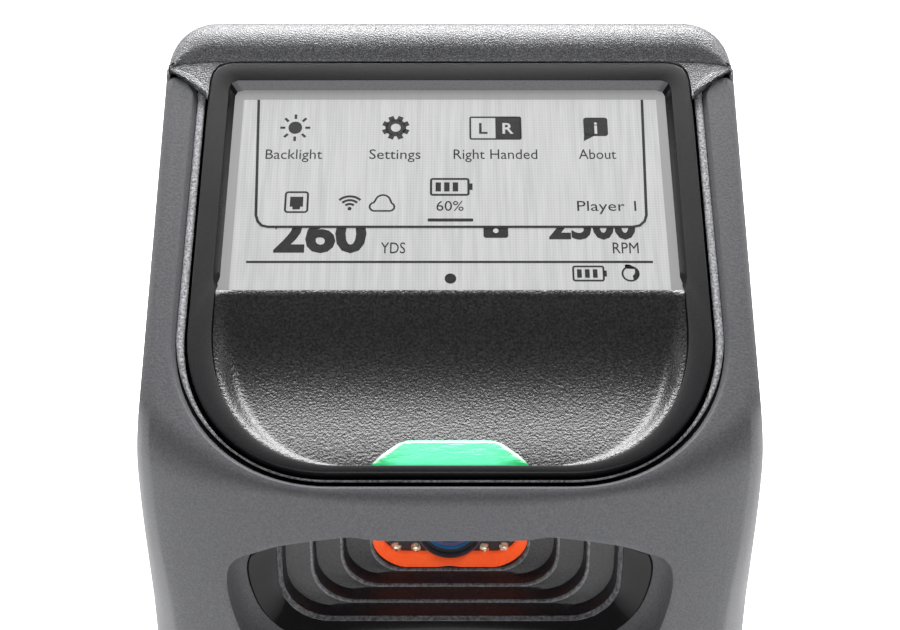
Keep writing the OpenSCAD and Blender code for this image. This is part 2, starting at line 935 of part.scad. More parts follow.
front_shell();
rear_shell();
handle_frame();
handle_cover();
base_plate();
rubber_feet();
display_bezel();
fascia_panel();
touch_glass();
lcd_panel();
backlight_unit();
display_tray();
display_board();
display_flex();
status_lens();
status_board();
channel_trim();
upper_camera_bezel();
lower_camera_bezel();
upper_lens_hood();
upper_pod_frame();
upper_pod_plate();
upper_lens_barrel();
upper_lens_glass();
upper_camera_board();
upper_ir_lamps();
lower_lens_hood();
lower_pod_frame();
lower_pod_plate();
lower_lens_barrels();
lower_lens_glasses();
lower_camera_board();
lower_ir_lamps();
chassis();
main_board();
processor();
heat_sink();
board_standoffs();
battery_pack();
battery_strap();
motion_sensor_board();
wireless_antenna();
port_bay();
port_board();
usb_c_socket();
ethernet_socket();
port_door();
door_pin();
power_button();
button_ring();
button_board();
power_switch();
button_bracket();
chassis_screws();
rear_screws();
screw_caps();
base_screws();
board_screws();
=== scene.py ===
import bmesh
import bpy
import json
import math
import numpy as np
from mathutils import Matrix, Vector


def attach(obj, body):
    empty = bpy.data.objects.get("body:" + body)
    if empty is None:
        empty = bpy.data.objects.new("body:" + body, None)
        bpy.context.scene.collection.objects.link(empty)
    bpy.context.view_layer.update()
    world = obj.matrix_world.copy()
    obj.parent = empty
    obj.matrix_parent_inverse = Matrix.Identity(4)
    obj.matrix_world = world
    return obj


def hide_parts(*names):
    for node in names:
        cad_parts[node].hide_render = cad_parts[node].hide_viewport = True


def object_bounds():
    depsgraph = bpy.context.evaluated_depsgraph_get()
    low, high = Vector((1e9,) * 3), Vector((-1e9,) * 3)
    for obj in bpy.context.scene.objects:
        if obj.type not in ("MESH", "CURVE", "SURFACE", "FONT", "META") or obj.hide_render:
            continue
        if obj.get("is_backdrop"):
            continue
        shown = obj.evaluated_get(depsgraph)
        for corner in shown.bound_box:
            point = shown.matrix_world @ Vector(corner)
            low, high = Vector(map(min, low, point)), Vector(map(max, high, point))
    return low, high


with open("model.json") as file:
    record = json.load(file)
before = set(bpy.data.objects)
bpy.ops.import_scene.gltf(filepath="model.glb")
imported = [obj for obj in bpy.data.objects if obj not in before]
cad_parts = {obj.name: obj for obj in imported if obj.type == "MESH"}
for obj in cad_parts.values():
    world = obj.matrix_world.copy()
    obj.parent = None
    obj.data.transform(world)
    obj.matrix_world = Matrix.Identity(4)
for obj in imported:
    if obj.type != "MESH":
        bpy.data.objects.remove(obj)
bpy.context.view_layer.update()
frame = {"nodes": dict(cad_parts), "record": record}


# --- Front shell ----------------------------------------------------------------------------------
# The grey front housing: an injection-moulded wrap of ABS with a fine spark-eroded grain. It
# carries the two camera windows, rolls over the brow and runs up both sides of the screen as
# arms. Four posts inside it take the chassis screws.
class Value:
    """A shader socket that can be used in sums."""

    def __init__(self, finish, socket):
        self.finish = finish
        self.socket = socket

    def maths(self, operation, first, second=0.0):
        return self.finish.node("ShaderNodeMath", {"operation": operation}, {0: first, 1: second})

    def __add__(self, other):
        return self.maths("ADD", self, other)

    def __sub__(self, other):
        return self.maths("SUBTRACT", self, other)

    def __mul__(self, other):
        return self.maths("MULTIPLY", self, other)

    def __truediv__(self, other):
        return self.maths("DIVIDE", self, other)

    def __pow__(self, other):
        return self.maths("POWER", self, other)

    def __rsub__(self, other):
        return self.maths("SUBTRACT", other, self)

    def __rtruediv__(self, other):
        return self.maths("DIVIDE", other, self)

    __radd__ = __add__
    __rmul__ = __mul__

    def sine(self):
        return self.maths("SINE", self)

    def step(self, low, high):
        """0 below low, 1 above high, smooth between them."""
        settings = {"interpolation_type": "SMOOTHSTEP"}
        return self.finish.node("ShaderNodeMapRange", settings, {0: self, 1: low, 2: high})


class Finish:
    """A principled material whose look is worked out from the piece's own coordinates."""

    def __init__(self, name, **constants):
        self.material = bpy.data.materials.new(name)
        self.material.use_nodes = True
        self.tree = self.material.node_tree
        self.tree.nodes.clear()
        end = self.tree.nodes.new("ShaderNodeOutputMaterial")
        self.shader = self.tree.nodes.new("ShaderNodeBsdfPrincipled")
        self.tree.links.new(self.shader.outputs[0], end.inputs["Surface"])
        self.place = self.node("ShaderNodeTexCoord", out="Object")
        for key, value in constants.items():
            self.set(key.replace("_", " ").title().replace("Ior", "IOR"), value)

    def node(self, kind, settings=None, sockets=None, out=0):
        made = self.tree.nodes.new(kind)
        for key, value in (settings or {}).items():
            setattr(made, key, value)
        for key, value in (sockets or {}).items():
            self.join(value, made.inputs[key])
        return Value(self, made.outputs[out])

    def join(self, value, socket):
        if isinstance(value, Value):
            self.tree.links.new(value.socket, socket)
        else:
            socket.default_value = value

    def set(self, name, value):
        self.join(value, self.shader.inputs[name])

    def noise(self, scale, detail=2.0, rough=0.5, place=None):
        sockets = {"Vector": place or self.place, "Scale": scale, "Detail": detail, "Roughness": rough}
        return self.node("ShaderNodeTexNoise", {}, sockets)

    def cells(self, scale, feature="F1", out=0):
        sockets = {"Vector": self.place, "Scale": scale}
        return self.node("ShaderNodeTexVoronoi", {"feature": feature}, sockets, out)

    def axes(self, place=None):
        split = self.node("ShaderNodeSeparateXYZ", {}, {0: place or self.place})
        outputs = split.socket.node.outputs
        return [Value(self, outputs[i]) for i in range(3)]

    def mix(self, share, first, second):
        sockets = {0: share, 6: first, 7: second}
        return self.node("ShaderNodeMix", {"data_type": "RGBA"}, sockets, 2)

    def bump(self, height, depth, strength=1.0, normal=None):
        """Raises the surface by height times depth, in metres."""
        sockets = {"Strength": strength, "Distance": depth, "Height": height}
        if normal:
            sockets["Normal"] = normal
        return self.node("ShaderNodeBump", {}, sockets)


def tint(red, green, blue):
    """An sRGB colour out of 255 as a linear one."""
    parts = [c / 255 for c in (red, green, blue)]
    return [c / 12.92 if c <= 0.04045 else ((c + 0.055) / 1.055) ** 2.4 for c in parts] + [1.0]


def grained(name, low, high, grain, depth, roughness, mottle=0.0, **constants):
    """Moulded plastic: a grain of small pits, a slow mottle and faint rub marks."""
    made = Finish(name, **constants)
    fine = made.noise(grain, 3.0, 0.6)
    slow = made.noise(28.0, 3.0, 0.5)
    pits = made.cells(grain * 0.8)
    shade = (fine - 0.5) * 1.6 + 0.5 + (slow - 0.5) * mottle
    made.set("Base Color", made.mix(shade.step(0.0, 1.0), tint(*low), tint(*high)))
    made.set("Roughness", roughness + (slow - 0.5) * 0.16 + (fine - 0.5) * 0.12)
    made.set("Normal", made.bump(fine + pits * 0.5, depth))
    return made.material


class Skin:
    """Collects grids of points, in millimetres, into one mesh."""

    def __init__(self):
        self.points = []
        self.faces = []
        self.slots = []

    def grid(self, rows, slot=0, loop=False):
        start, wide = len(self.points), len(rows[0])
        for row in rows:
            self.points.extend(tuple(float(c) for c in p) for p in row)
        for i in range(len(rows) - 1):
            for j in range(wide - (0 if loop else 1)):
                a, b = start + i * wide + j, start + i * wide + (j + 1) % wide
                self.faces.append((a, b, b + wide, a + wide))
                self.slots.append(slot)

    def cap(self, row, slot=0):
        """Closes a ring of points with a fan from its middle."""
        middle = np.mean(np.array(row, float), axis=0)
        start = len(self.points)
        self.points.append(tuple(float(c) for c in middle))
        self.points.extend(tuple(float(c) for c in p) for p in row)
        for j in range(len(row)):
            self.faces.append((start, start + 1 + j, start + 1 + (j + 1) % len(row)))
            self.slots.append(slot)

    def build(self, name, finishes, mirror=False, inside=None, sharp=32, merge=0.01):
        """The mesh as an object in metres; inside is a point that its faces look away from."""
        mesh = bpy.data.meshes.new(name)
        mesh.from_pydata(self.points, [], self.faces)
        for finish in finishes:
            mesh.materials.append(finish)
        mesh.polygons.foreach_set("material_index", self.slots)
        shape = bmesh.new()
        shape.from_mesh(mesh)
        if mirror:
            copied = bmesh.ops.duplicate(shape, geom=shape.verts[:] + shape.edges[:] + shape.faces[:])
            for part in copied["geom"]:
                if isinstance(part, bmesh.types.BMVert):
                    part.co.x = -part.co.x
        bmesh.ops.remove_doubles(shape, verts=shape.verts[:], dist=merge)
        bmesh.ops.dissolve_degenerate(shape, edges=shape.edges[:], dist=merge * 0.5)
        bmesh.ops.recalc_face_normals(shape, faces=shape.faces[:])
        if inside is not None:
            middle = Vector(inside)
            facing = sum((f.calc_center_median() - middle).normalized().dot(f.normal) * f.calc_area()
                         for f in shape.faces)
            if facing < 0:
                bmesh.ops.reverse_faces(shape, faces=shape.faces[:])
        bmesh.ops.scale(shape, vec=(0.001, 0.001, 0.001), verts=shape.verts[:])
        shape.to_mesh(mesh)
        shape.free()
        made = bpy.data.objects.new(name, mesh)
        bpy.context.scene.collection.objects.link(made)
        smooth(made, sharp)
        return made


def smooth(made, sharp):
    made.data.polygons.foreach_set("use_smooth", [True] * len(made.data.polygons))
    made.data.set_sharp_from_angle(angle=math.radians(sharp))
    made.data.update()


def bake(made, sharp=32):
    """Turns the piece's modifiers into plain mesh."""
    bpy.context.view_layer.update()
    graph = bpy.context.evaluated_depsgraph_get()
    mesh = bpy.data.meshes.new_from_object(made.evaluated_get(graph))
    old = made.data
    made.modifiers.clear()
    made.data = mesh
    mesh.name = made.name
    bpy.data.meshes.remove(old)
    if sharp:
        smooth(made, sharp)
    return made


def thicken(made, thickness, edge=0.0, offset=-1.0, angle=40):
    """Gives a skin a wall, in millimetres, and softens its sharp edges."""
    wall = made.modifiers.new("wall", "SOLIDIFY")
    wall.thickness = thickness / 1000
    wall.offset = offset
    wall.use_even_offset = False
    if edge:
        soften(made, edge, angle)
    return made


def soften(made, edge, angle=40, segments=2):
    round_off = made.modifiers.new("edge", "BEVEL")
    round_off.width = edge / 1000
    round_off.segments = segments
    round_off.limit_method = "ANGLE"
    round_off.angle_limit = math.radians(angle)
    round_off.harden_normals = False
    return made


TILT = math.radians(35.2)
COS, SIN = math.cos(TILT), math.sin(TILT)


def rim(x, u, n=0.0):
    """A point of the tilted screen's frame: across, up the slope and out of it."""
    return (x, -49.8 + u * COS - n * SIN, 264.2 + u * SIN + n * COS)


def rim_height(y):
    return 264.2 + (y + 49.8) * SIN / COS


def half_width(y, z):
    """How far the side wall stands from the middle."""
    top = 64.0 + (y + 52.0) * 0.028
    under = max(0.0, rim_height(y) - z)
    return 66.2 - (66.2 - top) * math.exp(-under / 14.0) - max(0.0, 60.0 - z) ** 2 * 0.0012


def front(x, z):
    """How far forward the front wall is."""
    bow = 9.5 * (abs(x) / 58.0) ** 3.3
    return -89.5 + 13.5 * max(0.0, (215.0 - z) / 211.0) ** 2 + bow


def squircle(cx, cu, rx, ru, power, steps):
    """The lower right quarter of a superellipse, from its lowest point to its widest."""
    quarter = []
    for i in range(steps + 1):
        a = math.pi / 2 * (1 - i / steps)
        quarter.append((cx + rx * max(0.0, math.cos(a)) ** (2 / power),
                        cu - ru * math.sin(a) ** (2 / power)))
    return quarter


def outline(grow, top, power=2.1):
    """Half of the screen module's outline, grown sideways: (x, u) from the bottom to the top."""
    sides = grow
    low = grow * 0.92
    curve = squircle(24.0, -10.0, 31.0 + sides, 32.9 + low, power, 40)
    return [(0.0, curve[0][1]), (12.0, curve[0][1])] + curve + [(55.3 + sides, top)]


def resample(points, shares):
    """Points of a line at the given shares of its length."""
    line = np.array(points, float)
    along = np.concatenate([[0], np.cumsum(np.linalg.norm(np.diff(line, axis=0), axis=1))])
    want = np.array(shares) * along[-1]
    return [tuple(np.interp(w, along, line[:, k]) for k in range(line.shape[1])) for w in want]


def spline(points, steps):
    """A smooth line through the points, with this many steps between each two."""
    p = [np.array(q, float) for q in points]
    p = [2 * p[0] - p[1]] + p + [2 * p[-1] - p[-2]]
    line = []
    for i in range(1, len(p) - 2):
        for k in range(steps):
            t = k / steps
            line.append(tuple(0.5 * (2 * p[i] + (p[i + 1] - p[i - 1]) * t
                                     + (2 * p[i - 1] - 5 * p[i] + 4 * p[i + 1] - p[i + 2]) * t * t
                                     + (3 * p[i] - p[i - 1] - 3 * p[i + 1] + p[i + 2]) * t ** 3)))
    return line + [tuple(p[-2])]


def between(a, b, steps):
    return [a + (b - a) * i / steps for i in range(steps + 1)]


grey_plastic = grained("grey_abs", (73, 73, 76), (94, 94, 98), 2100.0, 0.00004, 0.56, 0.25,
                       Specular_IOR_Level=0.25)
PARTING = [(-2, 285), (3, 255), (8, 215), (12, 175), (15, 135), (19, 95), (27, 50), (38, 4)]
UPPER_WINDOW = spline([(0, 185.6), (10, 185.8), (22, 186.4), (30, 188), (36, 190.8), (40.5, 195),
                       (43.8, 200.5), (45.6, 207), (46.2, 212.5), (45.6, 216.8), (43.5, 219.6),
                       (40, 221.4), (36, 223.4), (32, 224.7), (28, 225.7), (24, 226.5), (20, 227.1),
                       (17, 226.7), (14, 226.4), (0, 226.4)], 3)
LOWER_WINDOW = spline([(0, 36), (18, 36.1), (30, 36.8), (38, 39.6), (43, 44.6), (45.2, 52), (45.6, 70),
                       (45.2, 90), (43, 97), (38, 101.6), (30, 103.5), (18, 103.9), (0, 104)], 4)


def parting(z):
    heights = [p[1] for p in PARTING][::-1]
    return float(np.interp(z, heights, [p[0] for p in PARTING][::-1]))


def corner_x(z):
    """Where the front wall ends and the corner's facet begins."""
    return float(np.interp(z, [4, 190, 205, 217, 230], [57.6, 58.2, 59.1, 60.4, 60.9]))


def corner_edge(z):
    """Where the facet ends and the side wall begins."""
    y = float(np.interp(z, [4, 195, 205, 217, 229.5], [-66, -66, -67.3, -69, -71]))
    return (half_width(y, z), y, z)


def ring(window, low, high, rows, columns, rings=7):
    """The front wall round a window, between two heights, as rows from its rim outwards."""
    heights = between(low, high, rows)
    shares = between(0.0, 1.0, columns)
    edge = [(s * corner_x(low), low) for s in shares] + [(corner_x(z), z) for z in heights[1:-1]]
    edge += [(s * corner_x(high), high) for s in shares[::-1]]
    line = np.array(window)
    middle = (line[:, 1].max() + line[:, 1].min()) / 2
    tall = (line[:, 1].max() - line[:, 1].min()) / 2
    wide = line[:, 0].max()
    first = int(np.argmax(line[:, 0] / wide - (line[:, 1] - middle) / tall))
    second = int(np.argmax(line[:, 0] / wide + (line[:, 1] - middle) / tall))
    inner = resample(line[:first + 1], shares)
    inner += resample(line[first:second + 1], between(0.0, 1.0, rows))[1:-1]
    inner += resample(line[second:], shares)
    rows_out = []
    for k in range(rings + 1):
        t = (k / rings) ** 1.3
        rows_out.append([((1 - t) * a[0] + t * b[0], (1 - t) * a[1] + t * b[1])
                         for a, b in zip(inner, edge)])
    return [[(x, front(x, z), z) for x, z in row] for row in rows_out], rows_out[0]


COLUMNS, ARM_ROWS, ROLL = 20, 26, 8
shell = Skin()
lower_rows, lower_hole = ring(LOWER_WINDOW, 4.0, 146.0, 30, COLUMNS)
upper_rows, upper_hole = ring(UPPER_WINDOW, 146.0, 229.5, 20, COLUMNS)
shell.grid(lower_rows)
shell.grid(upper_rows)

# The brow: the wall rolls over onto the rim plane
shares = between(0.0, 1.0, COLUMNS)
channel_line = list(zip(*outline(3.5, 54.0)[:42]))
brow = []
for k in range(3 + ROLL + 1):
    row = []
    for s in shares:
        x = s * corner_x(229.5)
        y = front(x, 230.0)
        fold = rim_height(y)
        face = np.interp(x, *channel_line) - (y + 49.8) / COS
        reach = min(0.85 * face, 2.0 + 5.0 * (x / 58.0) ** 3.3)
        if k <= 2:
            z = 229.5 + (fold - reach - 229.5) * k / 3
            row.append((x, front(x, z), z))
        else:
            t = (k - 3) / ROLL
            up, along = (1 - t) ** 2, t * t
            row.append((x, y + along * reach * COS, fold - up * reach + along * reach * SIN))
    brow.append(row)
shell.grid(brow)

# The rim plane, from the brow and the arms' outer edges in to the channel
face_edge = [brow[-1][-1]]
for y in between(face_edge[0][1], -4.86, ARM_ROWS)[1:]:
    x = float(np.interp(y, [-72.9, -52.6, -10, -5], [61.3, 62.8, 63.6, 63.7]))
    face_edge.append((x, y, rim_height(y)))
ARM_END = [(0.0, 49.0), (0.05, 50.6), (0.35, 52.0), (1.2, 53.4), (2.6, 54.4), (4.6, 55.0)]
channel = outline(3.5, 47.0) + [(58.8 + x, u) for x, u in ARM_END]


def along_brow(line, narrow):
    """Points of a channel line: under the brow by their place across, then up the arm."""
    low = [p for p in line if p[1] < -12.0]
    across = [s * 60.9 * (1 - 0.12 * s * s) * narrow for s in shares]
    points = [(x, float(np.interp(x, *zip(*low)))) for x in across]
    rest = [points[-1]] + [p for p in line if p[1] > points[-1][1]]
    return points + resample(rest, between(0, 1, ARM_ROWS))[1:]


inner_edge = along_brow(channel, 1.0)
outer_edge = brow[-1] + face_edge[1:]
plane = [outer_edge]
for k in range(1, 5):
    t = k / 4
    plane.append([tuple((1 - t) * np.array(o) + t * np.array(rim(*i)))
                  for o, i in zip(outer_edge, inner_edge)])
shell.grid(plane)
bevel = outline(2.6, 47.0) + [(57.9 + x * 1.17, u + 0.6) for x, u in ARM_END]
bevel_edge = along_brow(bevel, 0.985)
shell.grid([[rim(*p) for p in inner_edge], [rim(*p, -1.1) for p in bevel_edge],
            [rim(*p, -6.5) for p in bevel_edge]])

# The narrow facet down the corner and along the arm, and the side wall behind it
inner_line, outer_line, seam = [], [], []
for z in between(4.0, 146.0, 30) + between(146.0, 229.5, 20)[1:]:
    inner_line.append((corner_x(z), front(corner_x(z), z), z))
    outer_line.append(corner_edge(z))
    seam.append(z)
for k in range(1, 3 + ROLL + 1):
    inner_line.append(brow[k][-1])
    t = k / (3 + ROLL)
    y, z = -71.0 - 1.5 * math.sin(math.pi * t) + 0.6 * t, 229.5 + t * 18.6
    z = min(z, rim_height(y) - 1.1)
    outer_line.append((half_width(y, z), y, z))
    seam.append(229.5 + t * 8)
for k, p in enumerate(face_edge[1:]):
    t = (k + 1) / ARM_ROWS
    y = outer_line[-1][1] * (1 - 1 / (ARM_ROWS - k)) + (-4.9) / (ARM_ROWS - k)
    z = rim_height(y) - 1.1
    inner_line.append(p)
    outer_line.append((half_width(y, z), y, z))
    seam.append(237.5 + t * 47.5)
strip = []
for s in (0.0, 0.12, 0.37, 0.63, 0.88, 1.0):
    swell = 0.9 * math.sin(math.pi * s)
    row = []
    for a, b in zip(inner_line, outer_line):
        wide = min(1.0, math.dist(a, b) / 12.0)
        p = np.array(a) * (1 - s) + np.array(b) * s
        row.append(tuple(p + np.array([0.8, -0.6, 0.0]) * swell * wide))
    strip.append(row)
shell.grid(strip)
side = []
for k in range(17):
    t = k / 16
    row = []
    for edge, z in zip(outer_line, seam):
        y = edge[1] * (1 - t) + parting(z) * t
        height = edge[2] * (1 - t) + z * t
        row.append((half_width(y, height), y, height))
    side.append(row)
shell.grid(side)

# The soft flange round each window, sloping in to the trim
def flange(hole, centre, depth_y, shrink):
    rows = []
    for t, dip in ((0.0, 0.0), (0.08, 0.25), (0.35, 0.62), (0.75, 0.92), (1.0, 1.0)):
        row = []
        for x, z in hole:
            inner = (x * (1 - shrink[0] * t), centre + (z - centre) * (1 - shrink[1] * t))
            y = front(x, z)
            row.append((inner[0], y + (max(depth_y, y) - y) * dip, inner[1]))
        rows.append(row)
    return rows


shell.grid(flange(upper_hole, 209.0, -79.3, (0.075, 0.20)))
shell.grid(flange(lower_hole, 70.0, -73.5, (0.06, 0.08)))
front_shell = shell.build("front_shell_skin", [grey_plastic], mirror=True, inside=(0, -20, 150), sharp=26)
thicken(front_shell, 2.2, 0.35, angle=34)
bake(front_shell, 34)
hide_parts("front_shell")
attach(front_shell, "housing")


# --- Rear shell -----------------------------------------------------------------------------------
# The dark rear housing: glass-filled nylon with a coarse spark-eroded texture, moulded in one
# with the crown above the screen. It meets the front shell at the parting line, and two long
# screws behind the upper caps pull it onto the chassis.
crown_plastic = Finish("coarse_nylon", IOR=1.5, Specular_IOR_Level=0.75)
grit = crown_plastic.noise(3600.0, 2.0, 0.6)
lumps = crown_plastic.cells(3200.0)
cloud = crown_plastic.noise(30.0, 2.0)
sparkle = (grit - 0.5) * 1.5 + lumps * 0.6 + 0.1 + (cloud - 0.5) * 0.2
crown_plastic.set("Base Color", crown_plastic.mix(sparkle.step(0.15, 0.85), tint(40, 40, 42),
                                                  tint(118, 118, 122)))
crown_plastic.set("Roughness", 0.36 + (grit - 0.5) * 0.25)
crown_plastic.set("Normal", crown_plastic.bump(grit * 0.7 + lumps, 0.00012))
crown_plastic = crown_plastic.material

BACK = spline([(72, 4), (75.2, 6.5), (76, 14), (76, 60), (76, 94), (75, 100.5), (71, 105.5), (64, 108.4),
               (45, 110.2), (34, 111.5), (29.4, 115.5), (28, 124), (28, 200), (28, 262), (28, 279),
               (27, 289), (24, 295.6), (19.5, 300.4), (13, 303.6), (7.2, 305), (3.8, 304.4),
               (1.0, 302.3), (-0.6, 299.9), (-1.02, 298.61)], 5)
PAIRS = [(38, 4), (36.5, 8), (34, 18), (27, 50), (22, 78), (20.6, 86), (20, 90), (19.4, 93.5), (18, 100),
         (17, 106), (16.4, 112), (15.5, 122), (10, 195), (3, 255), (0.5, 268), (-0.6, 275), (-1.3, 279),
         (-1.8, 282.5), (-2.3, 286), (-3.2, 289.5), (-3.9, 292.5), (-4.1, 294.2), (-3.9, 295.9),
         (-3.22, 297.05)]
seam_side = []
for i in range(len(PAIRS) - 1):
    for k in range(5):
        t = k / 5
        seam_side.append(tuple((1 - t) * np.array(PAIRS[i]) + t * np.array(PAIRS[i + 1])))
seam_side.append(PAIRS[-1])
rear = Skin()
sections = []
for (by, bz), (qy, qz) in zip(BACK, seam_side):
    reach = math.hypot(by - qy, bz - qz)
    tall = min(1.0, max(0.0, (bz - 112) / 30))
    curve = min(reach, 20.0 - 6.0 * tall if bz < 270 else 14.0 - 2.5 * min(1, (bz - 270) / 30))
    across = 20.0 if bz < 112 else (15.0 if bz < 270 else 11.5)
    row = []
    for k in range(9):
        row.append((k / 8 * (reach - curve), None))
    for k in range(1, 13):
        a = math.pi / 2 * k / 12
        row.append((reach - curve + curve * math.sin(a) ** 0.94,
                    across * (1 - max(0.0, math.cos(a)) ** 0.94)))
    for k in range(1, 11):
        row.append((reach, across + k / 10))
    line = []
    for index, (d, inset) in enumerate(row):
        y = qy + (by - qy) * d / reach
        z = qz + (bz - qz) * d / reach
        wide = half_width(min(y, 30), z) - (0.0 if inset is None else min(inset, across))
        if index > 20:
            wide = (half_width(min(y, 30), z) - across) * (1 - (index - 20) / 10)
        line.append((wide, y, z))
    sections.append(line)
rear.grid(sections)

# The crown's shoulder lies in the rim plane between the arm's end and the bezel's rounded corner
BEZEL_TOP = [(55.2, 47.0), (55.2, 50.5), (55.1, 54.5), (54.6, 57.0), (53.4, 58.7), (51.0, 59.5),
             (48.0, 59.7)]
last = sections[-1]
upper_line = [p for p in last if p[0] > 46.0]
edge_line = [(last[0][0], 57.0), (62.4, 56.6), (60.0, 55.6), (57.6, 53.8), (56.1, 51.8), (55.4, 49.2)]
edge_line = resample(edge_line, between(0, 1, 10))
edge_line += resample([(x + 0.12, u) for x, u in BEZEL_TOP[1:-1]] + [(upper_line[-1][0], 59.7)],
                      between(0, 1, len(upper_line) - 11))
edge_line = edge_line[:len(upper_line)]
shoulder = []
for k in range(5):
    t = k / 4
    shoulder.append([tuple((1 - t) * np.array(a) + t * np.array(rim(*b)))
                     for a, b in zip(upper_line, edge_line)])
rear.grid(shoulder)
rear_shell = rear.build("rear_shell_skin", [crown_plastic], mirror=True, inside=(0, 10, 150), sharp=40)
thicken(rear_shell, 0.8)
cutters = Skin()
corners = [(-31.3, 24.3), (27.7, 24.3), (27.7, 75.7), (-31.3, 75.7)]
cutters.grid([[(x, y, z) for x, z in corners] for y in (60.0, 90.0)], 0, loop=True)
cutters.cap([(x, 60.0, z) for x, z in corners])
cutters.cap([(x, 90.0, z) for x, z in corners])
for cx, cz, radius, start, end in ((0, 89, 10.1, 64, 88), (38, 232, 4.1, 18, 32), (-38, 232, 4.1, 18, 32)):
    turn = [(cx + radius * math.cos(math.tau * k / 48), cz + radius * math.sin(math.tau * k / 48))
            for k in range(48)]
    cutters.grid([[(x, y, z) for x, z in turn] for y in (start, end)], 0, loop=True)
    cutters.cap([(x, start, z) for x, z in turn])
    cutters.cap([(x, end, z) for x, z in turn])
cutter = cutters.build("rear_cutters", [crown_plastic])
hole = rear_shell.modifiers.new("holes", "BOOLEAN")
hole.operation = "DIFFERENCE"
hole.solver = "EXACT"
hole.use_hole_tolerant = True
hole.object = cutter
soften(rear_shell, 0.2, 55)
bake(rear_shell, 45)
bpy.data.objects.remove(cutter)
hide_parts("rear_shell")
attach(rear_shell, "housing")


# --- Display bezel --------------------------------------------------------------------------------
# The satin dark frame round the screen and the fascia: one moulding, pressed into the opening
# of the shells, with a polished steep chamfer down to the glass and a crisp bright outer edge.
satin = grained("satin_frame", (22, 22, 24), (30, 30, 32), 2600.0, 0.000012, 0.4, 0.3,
                Specular_IOR_Level=0.3)
polished = grained("polished_chamfer", (6, 6, 7), (10, 10, 11), 900.0, 0.000004, 0.3, 0.2,
                   Specular_IOR_Level=0.2)

# The top run of the polished chamfer is painted pale grey: a painted highlight where the light from above
# falls on it.
chamfer_painted_highlight = grained("frosted_chamfer", (84, 84, 87), (104, 104, 108), 2600.0, 0.00001, 0.4, 0.2)


def fascia_line(grow=0.0, steps=40):
    return squircle(22.0, -8.0, 28.0 + grow, 33.1 + grow, 2.2, steps)


module = outline(0.0, 45.0) + BEZEL_TOP[1:] + [(24.0, 59.7), (0.0, 59.7)]
fascia_side = fascia_line() + [(49.97, -4.0), (50.05, -0.3)]
inner = [(0.0, -41.1), (11.0, -41.1)] + fascia_side
screen = [(50.6, 2.0), (50.6, 36.0), (50.6, 51.8), (50.4, 53.0), (49.8, 53.8), (48.6, 54.2), (24.0, 54.2),
          (0.0, 54.2)]
BOTTOM, SIDES, TOP = 60, 30, 30
pair = []
for line, first, second in ((module, 43, 45), (inner + screen, 45, 47)):
    points = resample(line[:first], between(0, 1, BOTTOM))
    points += resample(line[first - 1:second + 1], between(0, 1, SIDES))[1:]
    points += resample(line[second:], between(0, 1, TOP))[1:]
    pair.append(points)
outer_ring, inner_ring = pair


def pull(points, others, distance):
    """Moves each point towards its partner by a distance."""
    moved = []
    for a, b in zip(points, others):
        gap = math.dist(a, b)
        moved.append((a[0] + (b[0] - a[0]) * distance / gap, a[1] + (b[1] - a[1]) * distance / gap))
    return moved


frame_skin = Skin()
rows = [[rim(*p, -6.5) for p in outer_ring], [rim(*p, -0.75) for p in outer_ring]]
for back, n in ((0.05, -0.45), (0.18, -0.2), (0.4, -0.05), (0.7, 0.0)):
    rows.append([rim(*p, n) for p in pull(outer_ring, inner_ring, back)])
rows.append([rim(*p, 0.0) for p in pull(inner_ring, outer_ring, 0.35)])
rows.append([rim(*p, -0.06) for p in pull(inner_ring, outer_ring, 0.12)])
frame_skin.grid(rows, 0)
foot = []
for index, (x, u) in enumerate(inner_ring):
    if index <= BOTTOM:
        foot.append(rim(x, u, -3.5))
    else:
        t = min(1.0, (u + 0.3) / 2.3)
        foot.append(rim(x * (1 - 0.0267 * t), u - 1.8 * min(1.0, max(0.0, (u - 49.0) / 5.2)),
                        -3.5 + 1.9 * t))
edge_row = [rim(x, u, -0.28) for x, u in inner_ring]
top_at = BOTTOM + SIDES + 1
frame_skin.grid([row[:top_at + 1] for row in (rows[-1], edge_row, foot)], 1)
# The top run of the chamfer takes the painted highlight finish; the sides and bottom keep the polished
# black.
frame_skin.grid([row[top_at:] for row in (rows[-1], edge_row, foot)], 2)
frame_skin.grid([foot, [(x, y + 0.9, z - 4.5) for x, y, z in foot]], 1)
bezel = frame_skin.build("display_bezel_ring", [satin, polished, chamfer_painted_highlight], mirror=True, sharp=35)
bm = bmesh.new()
bm.from_mesh(bezel.data)
up = Vector((0, -SIN, COS))
share = sum(f.normal.dot(up) * f.calc_area() for f in bm.faces if f.material_index == 0)
if share < 0:
    bmesh.ops.reverse_faces(bm, faces=bm.faces[:])
bm.to_mesh(bezel.data)
bm.free()
thicken(bezel, 0.5)
bake(bezel, 35)
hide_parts("display_bezel")
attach(bezel, "housing")


# --- Fascia ---------------------------------------------------------------------------------------
# The scooped panel below the screen: a separate moulding with a coarse sparkling grain, clipped
# into the bezel from behind, with a cut-out at its foot for the status lens.
sparkling = Finish("coarse_fascia", IOR=1.5)
grit = sparkling.noise(1900.0, 2.0, 0.7)
grains = sparkling.cells(1700.0)
slow = sparkling.noise(25.0, 2.0)
shade = (grit - 0.5) * 2.0 + grains * 0.5 + 0.2
sparkling.set("Base Color", sparkling.mix(shade.step(0.1, 0.9), tint(11, 11, 12), tint(44, 44, 46)))
sparkling.set("Roughness", 0.32 + (grit - 0.5) * 0.3 + (slow - 0.5) * 0.1)
sparkling.set("Normal", sparkling.bump(grit + grains * 0.6, 0.00009))


def scoop(u):
    """How deep the fascia is below the bezel's face at u."""
    t = min(1.0, max(0.0, (-0.35 - u) / 42.2))
    return -4.5 * max(0.0, math.sin(math.pi * t ** 0.8)) ** 1.3


def fascia_half(u):
    if u > -8.0:
        return 50.0
    return 22.0 + 28.0 * max(0.0, 1 - (min(33.1, -8.0 - u) / 33.1) ** 2.2) ** (1 / 2.2)


